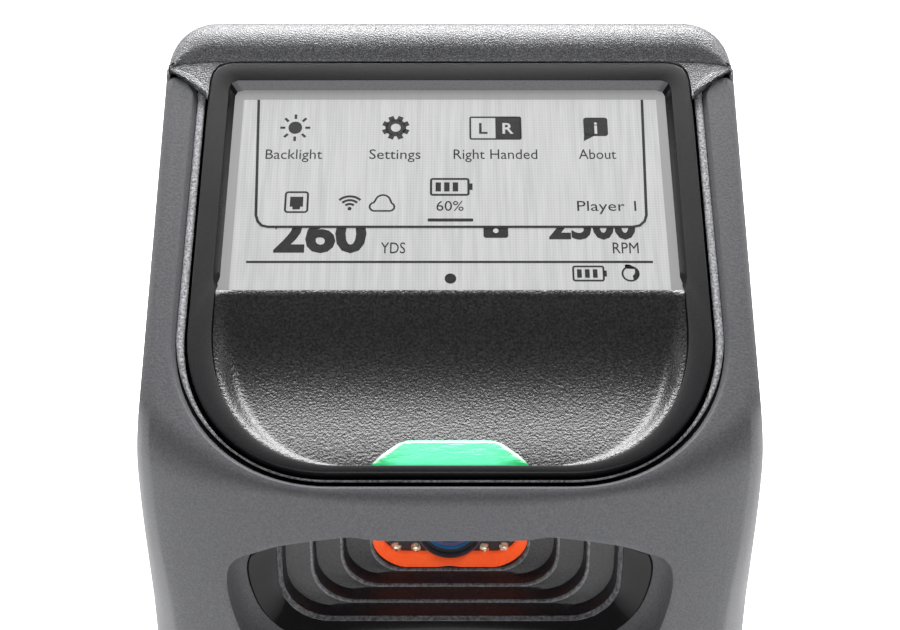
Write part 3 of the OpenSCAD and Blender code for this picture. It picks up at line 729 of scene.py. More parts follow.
def fascia_point(x, u):
    """The scooped surface, blended up to the bezel's lip at its edges."""
    lip = min(1.0, max(0.0, (fascia_half(u) - abs(x)) / 4.5))
    lip = lip * lip * (3 - 2 * lip)
    top = min(1.0, max(0.0, (-0.3 - u) / 1.2))
    return rim(x, u, -0.55 - (1 - top) * 0.7 + scoop(u) * (0.25 + 0.75 * lip))


panel_skin = Skin()
rows = []
for i in range(73):
    u = -0.4 - 40.55 * (i / 72) ** 0.93
    half = fascia_half(u) - 0.12
    rows.append([fascia_point(half * (1 - (1 - k / 40) ** 1.25), u) for k in range(41)])
panel_skin.grid(rows)
fascia = panel_skin.build("fascia_scoop", [sparkling.material], mirror=True, inside=rim(0, -20, -60),
                          sharp=60)
thicken(fascia, 1.6)
bake(fascia, 60)
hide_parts("fascia_panel")
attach(fascia, "housing")


# --- Status lens ----------------------------------------------------------------------------------
# The glowing trapezium at the foot of the fascia: a green light pipe of acrylic, glued in from
# behind over three lamps, brightest along its middle where the lamps sit.
glow = Finish("green_light_pipe", Roughness=0.25, Coat_Weight=0.4, Emission_Strength=0.75)
gx, _, gz = glow.axes()
along = (gz - 0.2405) / 0.0038
streak = glow.noise(1.0, 3.0, 0.6, glow.node("ShaderNodeMapping", {},
                                             {0: glow.place, 3: (260.0, 900.0, 900.0)}))
lamps = 1.0 - (((gx / 0.0165) ** 2.0) * 0.75).step(0.0, 1.0)
core = (lamps * (1.0 - (along * along).step(0.05, 1.0)) + (streak - 0.5) * 0.8).step(0.25, 0.95)
glow.set("Base Color", glow.mix(core, tint(6, 70, 36), tint(30, 130, 84)))
glow.set("Emission Color", glow.mix(core, tint(8, 205, 104), tint(112, 252, 196)))
glow.set("Normal", glow.bump(streak, 0.0001))


def lens_half(u):
    return float(np.interp(u, [-41.6, -40.5, -38.5, -35.6, -34.8], [16.2, 15.6, 13.9, 10.5, 8.4]))


pipe_skin = Skin()
rows = []
for i in range(17):
    u = -34.85 - 6.3 * i / 16
    rows.append([(s * (lens_half(u) - 0.05), u) for s in between(-1, 1, 32)])
raised = []
for i, row in enumerate(rows):
    edge = min(1.0, min(i, 16 - i) / 1.5)
    line = []
    for k, (x, u) in enumerate(row):
        lift = 0.22 * math.sin(math.pi / 2 * min(edge, min(k, 32 - k) / 1.5, 1.0))
        base, proud = np.array(fascia_point(x, u)), np.array(rim(0, 0, lift))
        line.append(tuple(base + proud - np.array(rim(0, 0, 0))))
    raised.append(line)
pipe_skin.grid(raised)
lens = pipe_skin.build("status_light_pipe", [glow.material], inside=rim(0, -38, -40), sharp=50)
thicken(lens, 0.9)
bake(lens, 50)
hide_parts("status_lens")
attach(lens, "housing")


# --- Channel trim ---------------------------------------------------------------------------------
# The trim lying in the channel round the module: a gloss black liner with a raised grained bead that
# starts as a broad strip beside the screen and thins to a line at the bottom, painted pale grey as a
# highlight.
liner = grained("gloss_liner", (4, 4, 5), (8, 8, 9), 1500.0, 0.000005, 0.2, 0.1, Specular_IOR_Level=0.25)
# The bead's grain is real; its pale grey is a painted highlight of the light on its rounded ridge.
bead_painted_highlight = grained("grained_bead", (40, 40, 42), (205, 205, 210), 2200.0, 0.00012, 0.45, 0.2)
path = outline(0.0, 45.0) + [(55.28, 50.0), (55.6, 52.0), (56.5, 53.6), (58.2, 54.9), (60.2, 55.9),
                             (62.8, 56.9)]
path = resample(path, between(0, 1, 150))
normals = []
for i, p in enumerate(path):
    a, b = path[max(0, i - 1)], path[min(len(path) - 1, i + 1)]
    along_x, along_u = b[0] - a[0], b[1] - a[1]
    size = math.hypot(along_x, along_u)
    normals.append((along_u / size, -along_x / size))


def beside(offset, n):
    """The module's outline moved outwards; offset and n are functions of the height up the slope."""
    line = []
    for (x, u), (nx, nu) in zip(path, normals):
        line.append(rim(x + nx * offset(u), u + nu * offset(u), n))
    return line


wide_at = lambda u: min(1.0, max(0.0, (u + 38.0) / 26.0)) * min(1.0, max(0.05, (54.2 - u) / 2.0))
middle = lambda u: 1.15 + 0.5 * wide_at(u)
breadth = lambda u: 0.18 + 0.72 * wide_at(u)
bead = Skin()
bead.grid([beside(lambda u: 0.12, -5.0), beside(lambda u: 0.12, -3.6),
           beside(lambda u: middle(u) - breadth(u) - 0.1, -3.4)], 0)
bead.grid([beside(lambda u: middle(u) - breadth(u) - 0.1, -3.4),
           beside(lambda u: middle(u) - breadth(u), -1.5)], 0)
bead.grid([beside(lambda u: middle(u) - breadth(u), -1.5),
           beside(lambda u: middle(u) - breadth(u) * 0.75, -1.15),
           beside(middle, -1.0), beside(lambda u: middle(u) + breadth(u) * 0.75, -1.15),
           beside(lambda u: middle(u) + breadth(u), -1.5)], 1)
bead.grid([beside(lambda u: middle(u) + breadth(u), -1.5),
           beside(lambda u: middle(u) + breadth(u) + 0.05, -3.2),
           beside(lambda u: 3.0, -3.2), beside(lambda u: 3.0, -5.0)], 0)
trim = bead.build("channel_trim_bead", [liner, bead_painted_highlight], mirror=True, inside=rim(0, 0, -200), sharp=60)
thicken(trim, 0.4)
bake(trim, 60)
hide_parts("channel_trim")
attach(trim, "housing")


# --- Screen ---------------------------------------------------------------------------------------
# A 4.3-inch reflective monochrome panel bonded under a hard cover glass: a pale field with a
# fine grid of cells inside a darker grey border, lit evenly from behind.
panel_finish = Finish("lcd_field", Roughness=0.32, Coat_Weight=0.2, Emission_Strength=0.88)
px, py, pz = panel_finish.axes()
up_slope = (py + 0.0498) * COS + (pz - 0.2642) * SIN
inside_x = 1.0 - (px * px / (0.0474 ** 2)).step(0.990, 0.996)
inside_u = (0.0499 - up_slope).step(0.0, 0.00015)
lines = (px * (2 * math.pi / 0.00066)).sine() * 0.5 + (up_slope * (2 * math.pi / 0.00066)).sine() * 0.5
bands = panel_finish.noise(1.0, 2.0, 0.5,
                           panel_finish.node("ShaderNodeMapping", {},
                                             {0: panel_finish.place, 3: (900.0, 60.0, 60.0)}))
field = (lines * 0.16 + (bands - 0.5) * 0.9 + 0.55).step(0.0, 1.0)
active = inside_x * inside_u
pale = panel_finish.mix(field, tint(186, 187, 187), tint(217, 217, 217))
dark_pale = panel_finish.mix(field, tint(160, 160, 160), tint(166, 166, 166))
shown = panel_finish.mix(active, dark_pale, pale)
half_shown = panel_finish.node("ShaderNodeVectorMath", {"operation": "SCALE"}, {0: shown, "Scale": 0.62})
panel_finish.set("Emission Color", half_shown)
panel_finish.set("Base Color", panel_finish.node("ShaderNodeVectorMath", {"operation": "SCALE"},
                                                 {0: shown, "Scale": 0.33}))
panel_finish.set("Normal", panel_finish.bump(lines, 0.000002))
glass_edge = grained("black_glass_print", (6, 6, 7), (10, 10, 11), 1500.0, 0.000003, 0.15, 0.1,
                     Coat_Weight=0.5)
glass_skin = Skin()
across = between(-51.4, 51.4, 40)
glass_skin.grid([[rim(x, u, -1.5) for x in across] for u in between(-2.6, 54.6, 20)], 0)
glass_skin.grid([[rim(x, u, -2.5) for x in across] for u in between(-2.6, 54.6, 20)], 1)
border = [(-51.4, -2.6), (51.4, -2.6), (51.4, 54.6), (-51.4, 54.6)]
glass_skin.grid([[rim(*p, -1.5) for p in border], [rim(*p, -2.5) for p in border]], 1, loop=True)
glass = glass_skin.build("cover_glass", [panel_finish.material, glass_edge], inside=rim(0, 25, -2.0))
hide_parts("touch_glass")
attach(glass, "housing")

# What the screen shows, as thin shapes just over the glass: a pull-down panel over a shot read-out
ink_finish = grained("lcd_ink", (9, 9, 9), (20, 20, 20), 1500.0, 0.000001, 0.35, 0.2)
ink, paper_shapes, cover = Skin(), Skin(), Skin()


def polygon(skin, outline_points, n):
    start = len(skin.points)
    skin.points.extend(rim(x, u, n) for x, u in outline_points)
    skin.faces.append(tuple(range(start, start + len(outline_points))))
    skin.slots.append(0)


def disc(skin, x, u, r, n, ru=None, count=28, start=0.0, end=360.0):
    angles = between(math.radians(start), math.radians(end), count)
    if end - start >= 360:
        angles = angles[:-1]
    polygon(skin, [(x + r * math.cos(a), u + (ru or r) * math.sin(a)) for a in angles], n)


def stroke(skin, points, width, n, closed=False):
    """A line of even width through the points."""
    count = len(points)
    sides = ([], [])
    for i, (x, u) in enumerate(points):
        a = points[i - 1] if i or closed else points[0]
        b = points[(i + 1) % count] if i < count - 1 or closed else points[-1]
        dx, du = b[0] - a[0], b[1] - a[1]
        size = math.hypot(dx, du)
        for side, way in zip(sides, (0.5, -0.5)):
            side.append(rim(x - du / size * width * way, u + dx / size * width * way, n))
    if closed:
        for side in sides:
            side.append(side[0])
    skin.grid([sides[0], sides[1]])


def arc_points(x, u, r, start, end, count=12):
    return [(x + r * math.cos(a), u + r * math.sin(a))
            for a in between(math.radians(start), math.radians(end), count)]


def pill(x0, x1, u0, u1, r):
    return (arc_points(x1 - r, u1 - r, r, 0, 90, 5) + arc_points(x0 + r, u1 - r, r, 90, 180, 5)
            + arc_points(x0 + r, u0 + r, r, 180, 270, 5) + arc_points(x1 - r, u0 + r, r, 270, 360, 5))


def lettering(skin, words, x0, x1, middle, tall, n, bold=0.0):
    """Sets plain words between x0 and x1 with capitals of the given height."""
    curve = bpy.data.curves.new("words", "FONT")
    curve.body = words
    curve.offset = bold
    curve.resolution_u = 3
    made = bpy.data.objects.new("words", curve)
    bpy.context.scene.collection.objects.link(made)
    bpy.context.view_layer.update()
    mesh = bpy.data.meshes.new_from_object(made.evaluated_get(bpy.context.evaluated_depsgraph_get()))
    places = np.array([v.co[:2] for v in mesh.vertices])
    caps = 0.73
    left, right = places[:, 0].min(), places[:, 0].max()
    start = len(skin.points)
    for x, u in places:
        skin.points.append(rim(x0 + (x - left) / (right - left) * (x1 - x0),
                               middle + (u - caps / 2) / caps * tall, n))
    for face in mesh.polygons:
        skin.faces.append(tuple(start + i for i in face.vertices))
        skin.slots.append(0)
    bpy.data.objects.remove(made)
    bpy.data.curves.remove(curve)
    bpy.data.meshes.remove(mesh)


LOW, MID, HIGH = -1.47, -1.43, -1.41
lettering(ink, "260", -38.3, -18.2, 14.2, 9.4, LOW, 0.035)
lettering(ink, "YDS", -15.0, -9.7, 10.35, 2.9, LOW)
lettering(ink, "2500", 21.6, 40.6, 16.6, 7.6, LOW, 0.035)
lettering(ink, "RPM", 35.3, 40.9, 10.35, 2.9, LOW)
polygon(ink, pill(7.3, 12.7, 12.8, 17.0, 0.6), LOW)
disc(paper_shapes, 10.0, 14.6, 0.6, LOW + 0.02)
polygon(ink, [(-44.0, 6.45), (43.8, 6.45), (43.8, 7.0), (-44.0, 7.0)], LOW)
disc(ink, 0.1, 2.6, 1.25, LOW)
stroke(ink, pill(26.5, 33.0, 2.1, 5.6, 0.4), 0.42, LOW, True)
polygon(ink, [(33.1, 3.1), (33.7, 3.1), (33.7, 4.6), (33.1, 4.6)], LOW)
for x in (27.3, 29.0, 30.7):
    polygon(ink, [(x, 2.8), (x + 1.0, 2.8), (x + 1.0, 4.9), (x, 4.9)], LOW)
stroke(ink, arc_points(38.8, 3.8, 1.75, 0, 345, 24), 0.4, LOW, True)
polygon(ink, arc_points(38.8, 3.8, 1.7, -70, 130, 16) + arc_points(38.2, 4.5, 1.6, 110, -50, 16), LOW)

# The pulled-down panel: a pale sheet that hides the tops of the figures, its outline and icons
polygon(cover, [(-43.9, 49.9), (-42.4, 16.9), (-41.3, 15.7), (41.9, 15.7), (43.2, 16.9), (44.0, 49.9)],
        LOW + 0.02)
stroke(ink, [(-43.85, 49.8), (-42.6, 18.6), (-42.1, 17.0), (-41.2, 15.95), (-39.8, 15.6), (39.9, 15.6),
             (41.5, 15.95), (42.6, 17.0), (43.1, 18.6), (44.0, 49.8)], 0.62, MID)
disc(ink, -35.1, 42.0, 1.55, MID, 1.7)
for k in range(8):
    a = math.radians(45 * k)
    tip = [(-35.1 + r * math.cos(a), 42.0 + r * 1.08 * math.sin(a)) for r in (2.25, 3.4)]
    stroke(ink, tip, 0.6, MID)
lettering(ink, "Backlight", -41.4, -28.7, 34.85, 2.75, MID)
for k in range(8):
    a = math.radians(45 * k + 22.5)
    tip = [(-12.3 + r * math.cos(a), 42.0 + r * 1.06 * math.sin(a)) for r in (1.8, 3.1)]
    stroke(ink, tip, 1.25, MID)
stroke(ink, arc_points(-12.3, 42.0, 1.75, 0, 345, 23), 1.25, MID, True)
lettering(ink, "Settings", -18.1, -6.6, 34.85, 2.75, MID)
stroke(ink, pill(4.6, 16.0, 38.9, 44.9, 0.3), 0.42, MID, True)
polygon(ink, [(10.3, 38.9), (16.0, 38.9), (16.0, 44.9), (10.3, 44.9)], MID)
lettering(ink, "L", 6.6, 8.5, 41.9, 3.0, MID, 0.02)
lettering(paper_shapes, "R", 11.9, 14.4, 41.9, 3.0, HIGH, 0.02)
lettering(ink, "Right Handed", 0.8, 19.6, 34.85, 2.75, MID)
polygon(ink, pill(30.3, 35.8, 39.7, 44.8, 0.7), MID)
polygon(ink, [(30.4, 40.8), (30.2, 38.3), (32.7, 39.8)], MID)
lettering(paper_shapes, "i", 32.7, 33.4, 42.1, 3.4, HIGH, 0.02)
lettering(ink, "About", 28.9, 37.3, 34.85, 2.75, MID)

# Status row: network, wireless, cloud, battery, and the drag handle under it
stroke(ink, pill(-36.3, -31.4, 19.4, 24.6, 0.6), 0.45, MID, True)
polygon(ink, [(-35.3, 20.8), (-35.3, 23.4), (-32.4, 23.4), (-32.4, 20.8), (-33.0, 20.8), (-33.0, 20.1),
              (-34.7, 20.1), (-34.7, 20.8)], MID)
for r in (1.3, 2.3, 3.3):
    stroke(ink, arc_points(-22.1, 20.2, r, 45, 135), 0.55, MID)
disc(ink, -22.1, 20.3, 0.45, MID)
stroke(ink, arc_points(-16.6, 20.8, 1.1, 100, 265, 10) + arc_points(-13.3, 20.75, 1.05, -85, 65, 10)
       + arc_points(-14.8, 22.2, 1.65, 25, 165, 12), 0.42, MID, True)
stroke(ink, pill(-4.2, 4.1, 23.9, 28.1, 0.4), 0.5, MID, True)
polygon(ink, [(4.3, 25.2), (5.0, 25.2), (5.0, 26.9), (4.3, 26.9)], MID)
for x in (-3.2, -1.3, 0.6):
    polygon(ink, [(x, 24.8), (x + 1.2, 24.8), (x + 1.2, 27.2), (x, 27.2)], MID)
lettering(ink, "60%", -3.0, 3.0, 21.1, 2.7, MID)
lettering(ink, "Player 1", 28.0, 41.0, 21.1, 2.75, MID)
polygon(ink, pill(-4.9, 5.1, 16.95, 17.75, 0.3), MID)
for skin, name, finish in ((ink, "screen_ink", ink_finish),
                           (paper_shapes, "screen_paper", panel_finish.material),
                           (cover, "screen_sheet", panel_finish.material)):
    shown_shape = skin.build(name, [finish], merge=0.0005)
    up = Vector((0, -SIN, COS))
    for face in shown_shape.data.polygons:
        if face.normal.dot(up) < 0:
            face.flip()
    shown_shape.data.update()
    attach(shown_shape, "housing")


# --- Camera windows -------------------------------------------------------------------------------
# Behind each window sit a gloss black trim, a stepped grained funnel that keeps stray light off
# the lens, a sloped orange frame and a dark plate; all are clipped to one another from behind.
gloss = grained("gloss_black_trim", (4, 4, 5), (9, 9, 10), 1500.0, 0.000004, 0.16, 0.1,
                Specular_IOR_Level=0.16, Coat_Weight=0.12)
funnel = Finish("grained_funnel")
grit = funnel.noise(1700.0, 2.0, 0.7)
funnel.set("Base Color", funnel.mix((grit * 1.6 - 0.3).step(0.0, 1.0), tint(20, 20, 21), tint(52, 52, 55)))
funnel.set("Roughness", 0.42 + (grit - 0.5) * 0.3)
funnel.set("Normal", funnel.bump(grit, 0.00011))
# The ridge finish is a painted highlight: pale grey spread by noise, standing in for light caught on the
# rounded lips of the funnel's steps and round the trim's mouth.
painted_highlight_ridge = Finish("worn_ridge")
ridge_highlight_noise = painted_highlight_ridge.noise(1200.0, 2.0, 0.7)
painted_highlight_ridge.set("Base Color", painted_highlight_ridge.mix((ridge_highlight_noise * 2.0 - 0.5).step(0.0, 1.0), tint(52, 52, 54), tint(124, 124, 128)))
painted_highlight_ridge.set("Roughness", 0.35 + (ridge_highlight_noise - 0.5) * 0.2)
painted_highlight_ridge.set("Normal", painted_highlight_ridge.bump(ridge_highlight_noise, 0.00006))
# The orange frame is given a faint glow (emission 0.45) that the real part does not have: painted light
# that brightens it where it sits in the shade of the hood.
orange = Finish("orange_frame", Coat_Weight=0.1, Emission_Strength=0.45)
haze = orange.noise(1500.0, 3.0)
broad = orange.noise(60.0, 2.0)
orange.set("Base Color", orange.mix((haze * 0.5 + broad * 0.5).step(0.3, 0.7), tint(250, 92, 40),
                                    tint(255, 118, 60)))
orange.set("Emission Color", orange.mix(broad, tint(232, 72, 30), tint(255, 100, 48)))
orange.set("Roughness", 0.42 + (haze - 0.5) * 0.2)
orange.set("Normal", orange.bump(haze, 0.00002))


def oblong(x0, x1, z0, z1, r, steps=10):
    """A rounded rectangle as (x, z), the same number of points at any size."""
    points = []
    for cx, cz, first in ((x1 - r, z0 + r, -90), (x1 - r, z1 - r, 0), (x0 + r, z1 - r, 90),
                          (x0 + r, z0 + r, 180)):
        points += [(cx + r * math.cos(math.radians(first + 90 * k / steps)),
                    cz + r * math.sin(math.radians(first + 90 * k / steps))) for k in range(steps + 1)]
    filled = []
    for a, b in zip(points, points[1:] + points[:1]):
        parts = max(1, int(math.dist(a, b) / 3.0)) if math.dist(a, b) > 4.0 else 1
        filled += [(a[0] + (b[0] - a[0]) * k / parts, a[1] + (b[1] - a[1]) * k / parts)
                   for k in range(parts)]
    return filled


def matched(points, count):
    """A closed outline at even shares from the middle of its lowest side."""
    line = np.array(points + points[:1])
    start = int(np.argmin(line[:-1, 1] * 100 + abs(line[:-1, 0])))
    line = np.concatenate([line[start:-1], line[:start + 1]])
    return resample(line, between(0, 1, count))[:-1]


def trim_tray(name, hole, low, high, corner, centre, deep, shrink, node):
    """The gloss trim from the shell's flange in to the funnel's mouth."""
    count = 160
    edge = [(x * (1 - shrink[0]), centre + (z - centre) * (1 - shrink[1])) for x, z in hole]
    edge = edge + [(-x, z) for x, z in edge[::-1]]
    outer = matched([tuple(p) for p in edge], count)
    mouth = matched(oblong(-36.2, 36.2, low, high, corner), count)
    rows = []
    for t, y in ((-0.02, 1.2), (0.0, 0.35), (0.06, 0.0), (0.5, 0.5), (0.9, 1.0), (1.0, 1.25), (1.0, 5.0)):
        rows.append([((1 - t) * a[0] + t * b[0], deep[0] + (deep[1] - deep[0]) * max(0, t) + y,
                      (1 - t) * a[1] + t * b[1])
                     for a, b in zip(outer, mouth)])
    tray = Skin()
    tray.grid(rows, 0, loop=True)
    # The band round the funnel's mouth takes the ridge finish, a painted highlight.
    lip = matched(oblong(-36.35, 36.35, low - 0.15, high + 0.15, corner), count)
    foot = matched(oblong(-35.9, 35.9, low + 0.3, high - 0.3, corner), count)
    bands = []
    for line, back in ((lip, 0.7), (mouth, 0.5), (foot, 1.2)):
        bands.append([(x, deep[1] + back, z) for x, z in line])
    tray.grid(bands, 1, loop=True)
    made = tray.build(name, [gloss, painted_highlight_ridge.material], sharp=50)
    thicken(made, 0.6, offset=0.0)
    bake(made, 50)
    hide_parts(node)
    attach(made, "housing")


def stepped_funnel(name, face, low, high, half, step_x, step_z, corner, node):
    """Three steps back from the mouth, each with a crisp lip painted pale as a highlight."""
    tube = Skin()
    for k in range(4):
        x, z0, z1, r = half - k * step_x, low + k * step_z, high - k * step_z, corner - 1.1 * k
        y = face + 4.0 * k
        ring_at = lambda grow, depth: [(px, y + depth, pz) for px, pz in
                                       matched(oblong(-x + grow, x - grow, z0 + grow, z1 - grow, r), 160)]
        if k < 3:
            nx, nz = x - step_x, step_z
            next_at = lambda grow, depth: [(px, y + 4.0 + depth, pz) for px, pz in
                                           matched(oblong(-nx + grow, nx - grow, z0 + nz + grow,
                                                          z1 - nz - grow, r - 1.1), 160)]
            inner_ring = next_at(-0.25, -0.2)
            tube.grid([ring_at(0.12, 0.12), ring_at(0.3, 1.2), ring_at(0.55, 3.2),
                       [((a[0] + b[0]) / 2, y + 3.75, (a[2] + b[2]) / 2)
                        for a, b in zip(ring_at(0.8, 3.7), inner_ring)], inner_ring], 0, loop=True)
            # The lip of each step takes the ridge finish, a painted highlight.
            tube.grid([inner_ring, next_at(-0.08, -0.18), next_at(0.06, 0.02), next_at(0.12, 0.12)], 1,
                      loop=True)
        else:
            tube.grid([ring_at(0.12, 0.12), ring_at(0.2, 1.2)], 0, loop=True)
    made = tube.build(name, [funnel.material, painted_highlight_ridge.material], sharp=45)
    thicken(made, 0.6, offset=0.0)
    bake(made, 45)
    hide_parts(node)
    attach(made, "housing")


def sloped_frame(name, y, half, low, high, corner, reach, notches, node):
    """The orange frame: a sloped ring, notched round each lens."""
    def at(grow, depth):
        line = []
        for px, pz in matched(oblong(-half + grow, half - grow, low + grow, high - grow,
                                     max(1.0, corner - grow * 0.6)), 200):
            for cx, cz, r in notches:
                gap = math.hypot(px - cx, pz - cz)
                if gap < r:
                    px, pz = cx + (px - cx) * r / gap, cz + (pz - cz) * r / gap
            line.append((px, y + depth, pz))
        return line
    ring_skin = Skin()
    ring_skin.grid([at(-1.4, 1.2), at(-1.4, 0.1), at(0.0, 0.0), at(0.25, 0.08), at(reach * 0.5, 1.5),
                    at(reach - 0.2, 2.8), at(reach, 3.1), at(reach, 4.2)], 0, loop=True)
    made = ring_skin.build(name, [orange.material], sharp=40)
    thicken(made, 0.4, offset=0.0)
    bake(made, 40)
    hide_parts(node)
    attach(made, "housing")


trim_tray("upper_camera_trim", upper_hole, 197.1, 226.0, 10.5, 209.0, (-79.4, -77.4), (0.075, 0.20),
          "upper_camera_bezel")
trim_tray("lower_camera_trim", lower_hole, 47.1, 92.9, 10.5, 70.0, (-73.6, -72.2), (0.06, 0.08),
          "lower_camera_bezel")
stepped_funnel("upper_funnel", -76.0, 197.1, 224.0, 36.0, 6.2, 1.3, 10.5, "upper_lens_hood")
stepped_funnel("lower_funnel", -70.8, 47.1, 92.9, 36.0, 1.2, 3.2, 10.5, "lower_lens_hood")
sloped_frame("upper_orange_frame", -63.9, 17.4, 200.9, 220.2, 6.4, 2.0, [(0.0, 209.4, 7.9)],
             "upper_pod_frame")
sloped_frame("lower_orange_frame", -58.7, 32.5, 56.7, 83.3, 7.0, 2.6, [], "lower_pod_frame")


# --- Lenses and lamps -----------------------------------------------------------------------------
# Each camera looks through a short anodised barrel with a blue anti-reflection coating on its
# front glass; clear domed infrared lamps with gilt reflectors stand round it on the plate.
plate_finish = grained("dark_plate", (22, 22, 24), (34, 34, 36), 1800.0, 0.00002, 0.5, 0.2)
barrel_finish = grained("anodised_barrel", (72, 72, 76), (92, 92, 96), 1600.0, 0.00001, 0.45, 0.2,
                        Metallic=0.3)
coating = Finish("coated_glass", Coat_Weight=1.0, Coat_Roughness=0.03, Metallic=0.25)
# The blue is the coating's own tint; its lightening towards the glancing edges, set by viewing angle, is a
# painted reflection.
facing = coating.node("ShaderNodeLayerWeight", {}, {"Blend": 0.45}, 1)
sweep_noise = coating.noise(120.0, 2.0)
coating.set("Base Color", coating.mix((facing + (sweep_noise - 0.5) * 0.4).step(0.05, 0.8), tint(8, 40, 84),
                                      tint(64, 150, 214)))
coating.set("Roughness", 0.08 + sweep_noise * 0.05)
coating.set("Normal", coating.bump(sweep_noise, 0.00002))
dome = Finish("lamp_dome", Coat_Weight=1.0, Coat_Roughness=0.02)
# The dome's colour is set by viewing angle, pale cream face-on and brown towards its rim: painted light
# standing in for the lit gilt reflector seen through the clear dome. The metallic flecks are the
# reflector's own gilt.
depth = dome.node("ShaderNodeLayerWeight", {}, {"Blend": 0.5}, 1)
flecks = dome.cells(1400.0)
dome.set("Base Color", dome.mix((depth + (flecks - 0.4) * 0.8).step(0.2, 0.9), tint(238, 226, 200),
                                tint(96, 74, 48)))
dome.set("Metallic", (flecks * 1.4 - 0.2).step(0.0, 1.0) * 0.8)
dome.set("Roughness", 0.06 + flecks * 0.15)
dome.set("Normal", dome.bump(flecks, 0.00008))


def turned(profile, x, y, z, count=48):
    """Rings of a turned piece whose axis points forward: profile is (radius, distance forward)."""
    return [[(x + r * math.cos(2 * math.pi * k / count), y - d, z + r * math.sin(2 * math.pi * k / count))
             for k in range(count)] for r, d in profile]


def lens_set(places, y, barrel_node, glass_node):
    barrel, glass = Skin(), Skin()
    for x, z in places:
        rings = turned([(6.2, 0.0), (7.5, 0.0), (7.5, 19.9), (7.35, 20.4), (7.0, 20.6), (6.9, 20.4),
                        (6.8, 19.4), (6.75, 18.2), (6.7, 17.0), (6.7, 14.3), (6.8, 14.3)], x, y, z)
        barrel.grid(rings + rings[:1], 0, loop=True)
        arc_rings = [(6.65 * math.cos(math.radians(a)), 18.0 + 2.2 * math.sin(math.radians(a)))
                     for a in range(0, 89, 8)]
        rings = turned([(6.65, 14.5)] + arc_rings, x, y, z)
        glass.grid(rings, 0, loop=True)
        glass.cap(rings[-1])
        glass.cap(rings[0])
    for skin, name, finish, slot, node in ((barrel, "barrels", barrel_finish, "black_metal", barrel_node),
                                           (glass, "front_glass", coating.material, "coated_glass",
                                            glass_node)):
        made = skin.build(barrel_node + "_" + name, [finish], sharp=45)
        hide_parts(node)
        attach(made, "housing")


lens_set([(0.0, 209.4)], -40.9, "upper_lens_barrel", "upper_lens_glass")
lens_set([(-21.0, 70.0), (21.0, 70.0)], -36.1, "lower_lens_barrels", "lower_lens_glasses")


def lamp_group(name, places, y, node):
    """Lamps scattered over named places by a node group, then made plain mesh."""
    seed = Skin()
    seed.points = [(x, y, z) for x, z in places]
    spots = seed.build(name, [], merge=0.0)
    one = Skin()
    profile = [(1.3, -4.4), (1.3, 0.0)] + [(1.3 * math.cos(math.radians(a)),
                                            1.3 * math.sin(math.radians(a))) for a in range(15, 89, 15)]
    rings = turned(profile, 0.0, 0.0, 0.0, 24)
    one.grid(rings, 0, loop=True)
    one.cap(rings[-1])
    one.cap(rings[0])
    pattern = one.build(name + "_pattern", [dome.material], sharp=50)
    group = bpy.data.node_groups.new(name + "_scatter", "GeometryNodeTree")
    group.interface.new_socket("Geometry", in_out="INPUT", socket_type="NodeSocketGeometry")
    lamp_input = group.interface.new_socket("Lamp", in_out="INPUT", socket_type="NodeSocketObject")
    finish_input = group.interface.new_socket("Finish", in_out="INPUT", socket_type="NodeSocketMaterial")
    group.interface.new_socket("Geometry", in_out="OUTPUT", socket_type="NodeSocketGeometry")
    start, end = group.nodes.new("NodeGroupInput"), group.nodes.new("NodeGroupOutput")
    info = group.nodes.new("GeometryNodeObjectInfo")
    copies = group.nodes.new("GeometryNodeInstanceOnPoints")
    real = group.nodes.new("GeometryNodeRealizeInstances")
    paint = group.nodes.new("GeometryNodeSetMaterial")
    group.links.new(start.outputs["Geometry"], copies.inputs["Points"])
    group.links.new(start.outputs["Lamp"], info.inputs["Object"])
    group.links.new(info.outputs["Geometry"], copies.inputs["Instance"])
    group.links.new(copies.outputs["Instances"], real.inputs[0])
    group.links.new(real.outputs[0], paint.inputs["Geometry"])
    group.links.new(start.outputs["Finish"], paint.inputs["Material"])
    group.links.new(paint.outputs[0], end.inputs[0])
    scatter = spots.modifiers.new("scatter", "NODES")
    scatter.node_group = group
    scatter[lamp_input.identifier] = pattern
    scatter[finish_input.identifier] = dome.material
    bake(spots, 50)
    bpy.data.objects.remove(pattern)
    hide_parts(node)
    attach(spots, "housing")


upper_places = [(side * x, 209.6 + way * z) for side in (-1, 1) for way in (-1, 1)
                for x, z in ((7.7, 5.6), (12.1, 5.4), (13.8, 2.7))]
lower_places = [(x, 70.0 + z) for x in (-5, 0, 5) for z in (-5.2, 0.0, 5.2)]
lamp_group("upper_lamps", upper_places, -59.6, "upper_ir_lamps")
lamp_group("lower_lamps", lower_places, -54.4, "lower_ir_lamps")
for name, half, low, high, y in (("upper_pod_plate", 18.0, 200.6, 220.6, -59.9),
                                 ("lower_pod_plate", 33.0, 56.0, 84.0, -54.8)):
    sheet = Skin()
    edge = matched(oblong(-half, half, low, high, 5.0), 120)
    for depth in (0.0, 1.4):
        sheet.cap([(x, y + depth, z) for x, z in edge])
    sheet.grid([[(x, y, z) for x, z in edge], [(x, y + 1.4, z) for x, z in edge]], 0, loop=True)
    plate = sheet.build(name + "_sheet", [plate_finish])
    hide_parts(name)
    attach(plate, "housing")


# --- Carry handle ---------------------------------------------------------------------------------
# The loop behind the body: a hollow nylon moulding that flares into the crown and into the lower
# body, with a ribbed soft grip pressed into the outer face of its upright.
OUTER = [(20, 298.5), (34, 295.8), (47, 289.6), (58, 284.8), (68, 279.3), (78, 268.9), (84.6, 255.5),
         (88.1, 240), (89.2, 222), (88.0, 190), (85.8, 165), (83.3, 143), (79.9, 120), (77.2, 104),
         (75.0, 90)]
INNER = [(24, 258), (35, 262.3), (45.5, 262.2), (54.0, 258), (60.3, 250.5), (63.9, 242.5), (65.2, 232),
         (65.4, 221), (64.8, 205), (63.2, 183), (61.2, 163), (57.4, 145), (51.5, 131.0), (45.0, 119),
         (38.0, 100)]
HANDLE_HALF = 19.0
outer_path, inner_path = spline(OUTER, 6), spline(INNER, 6)


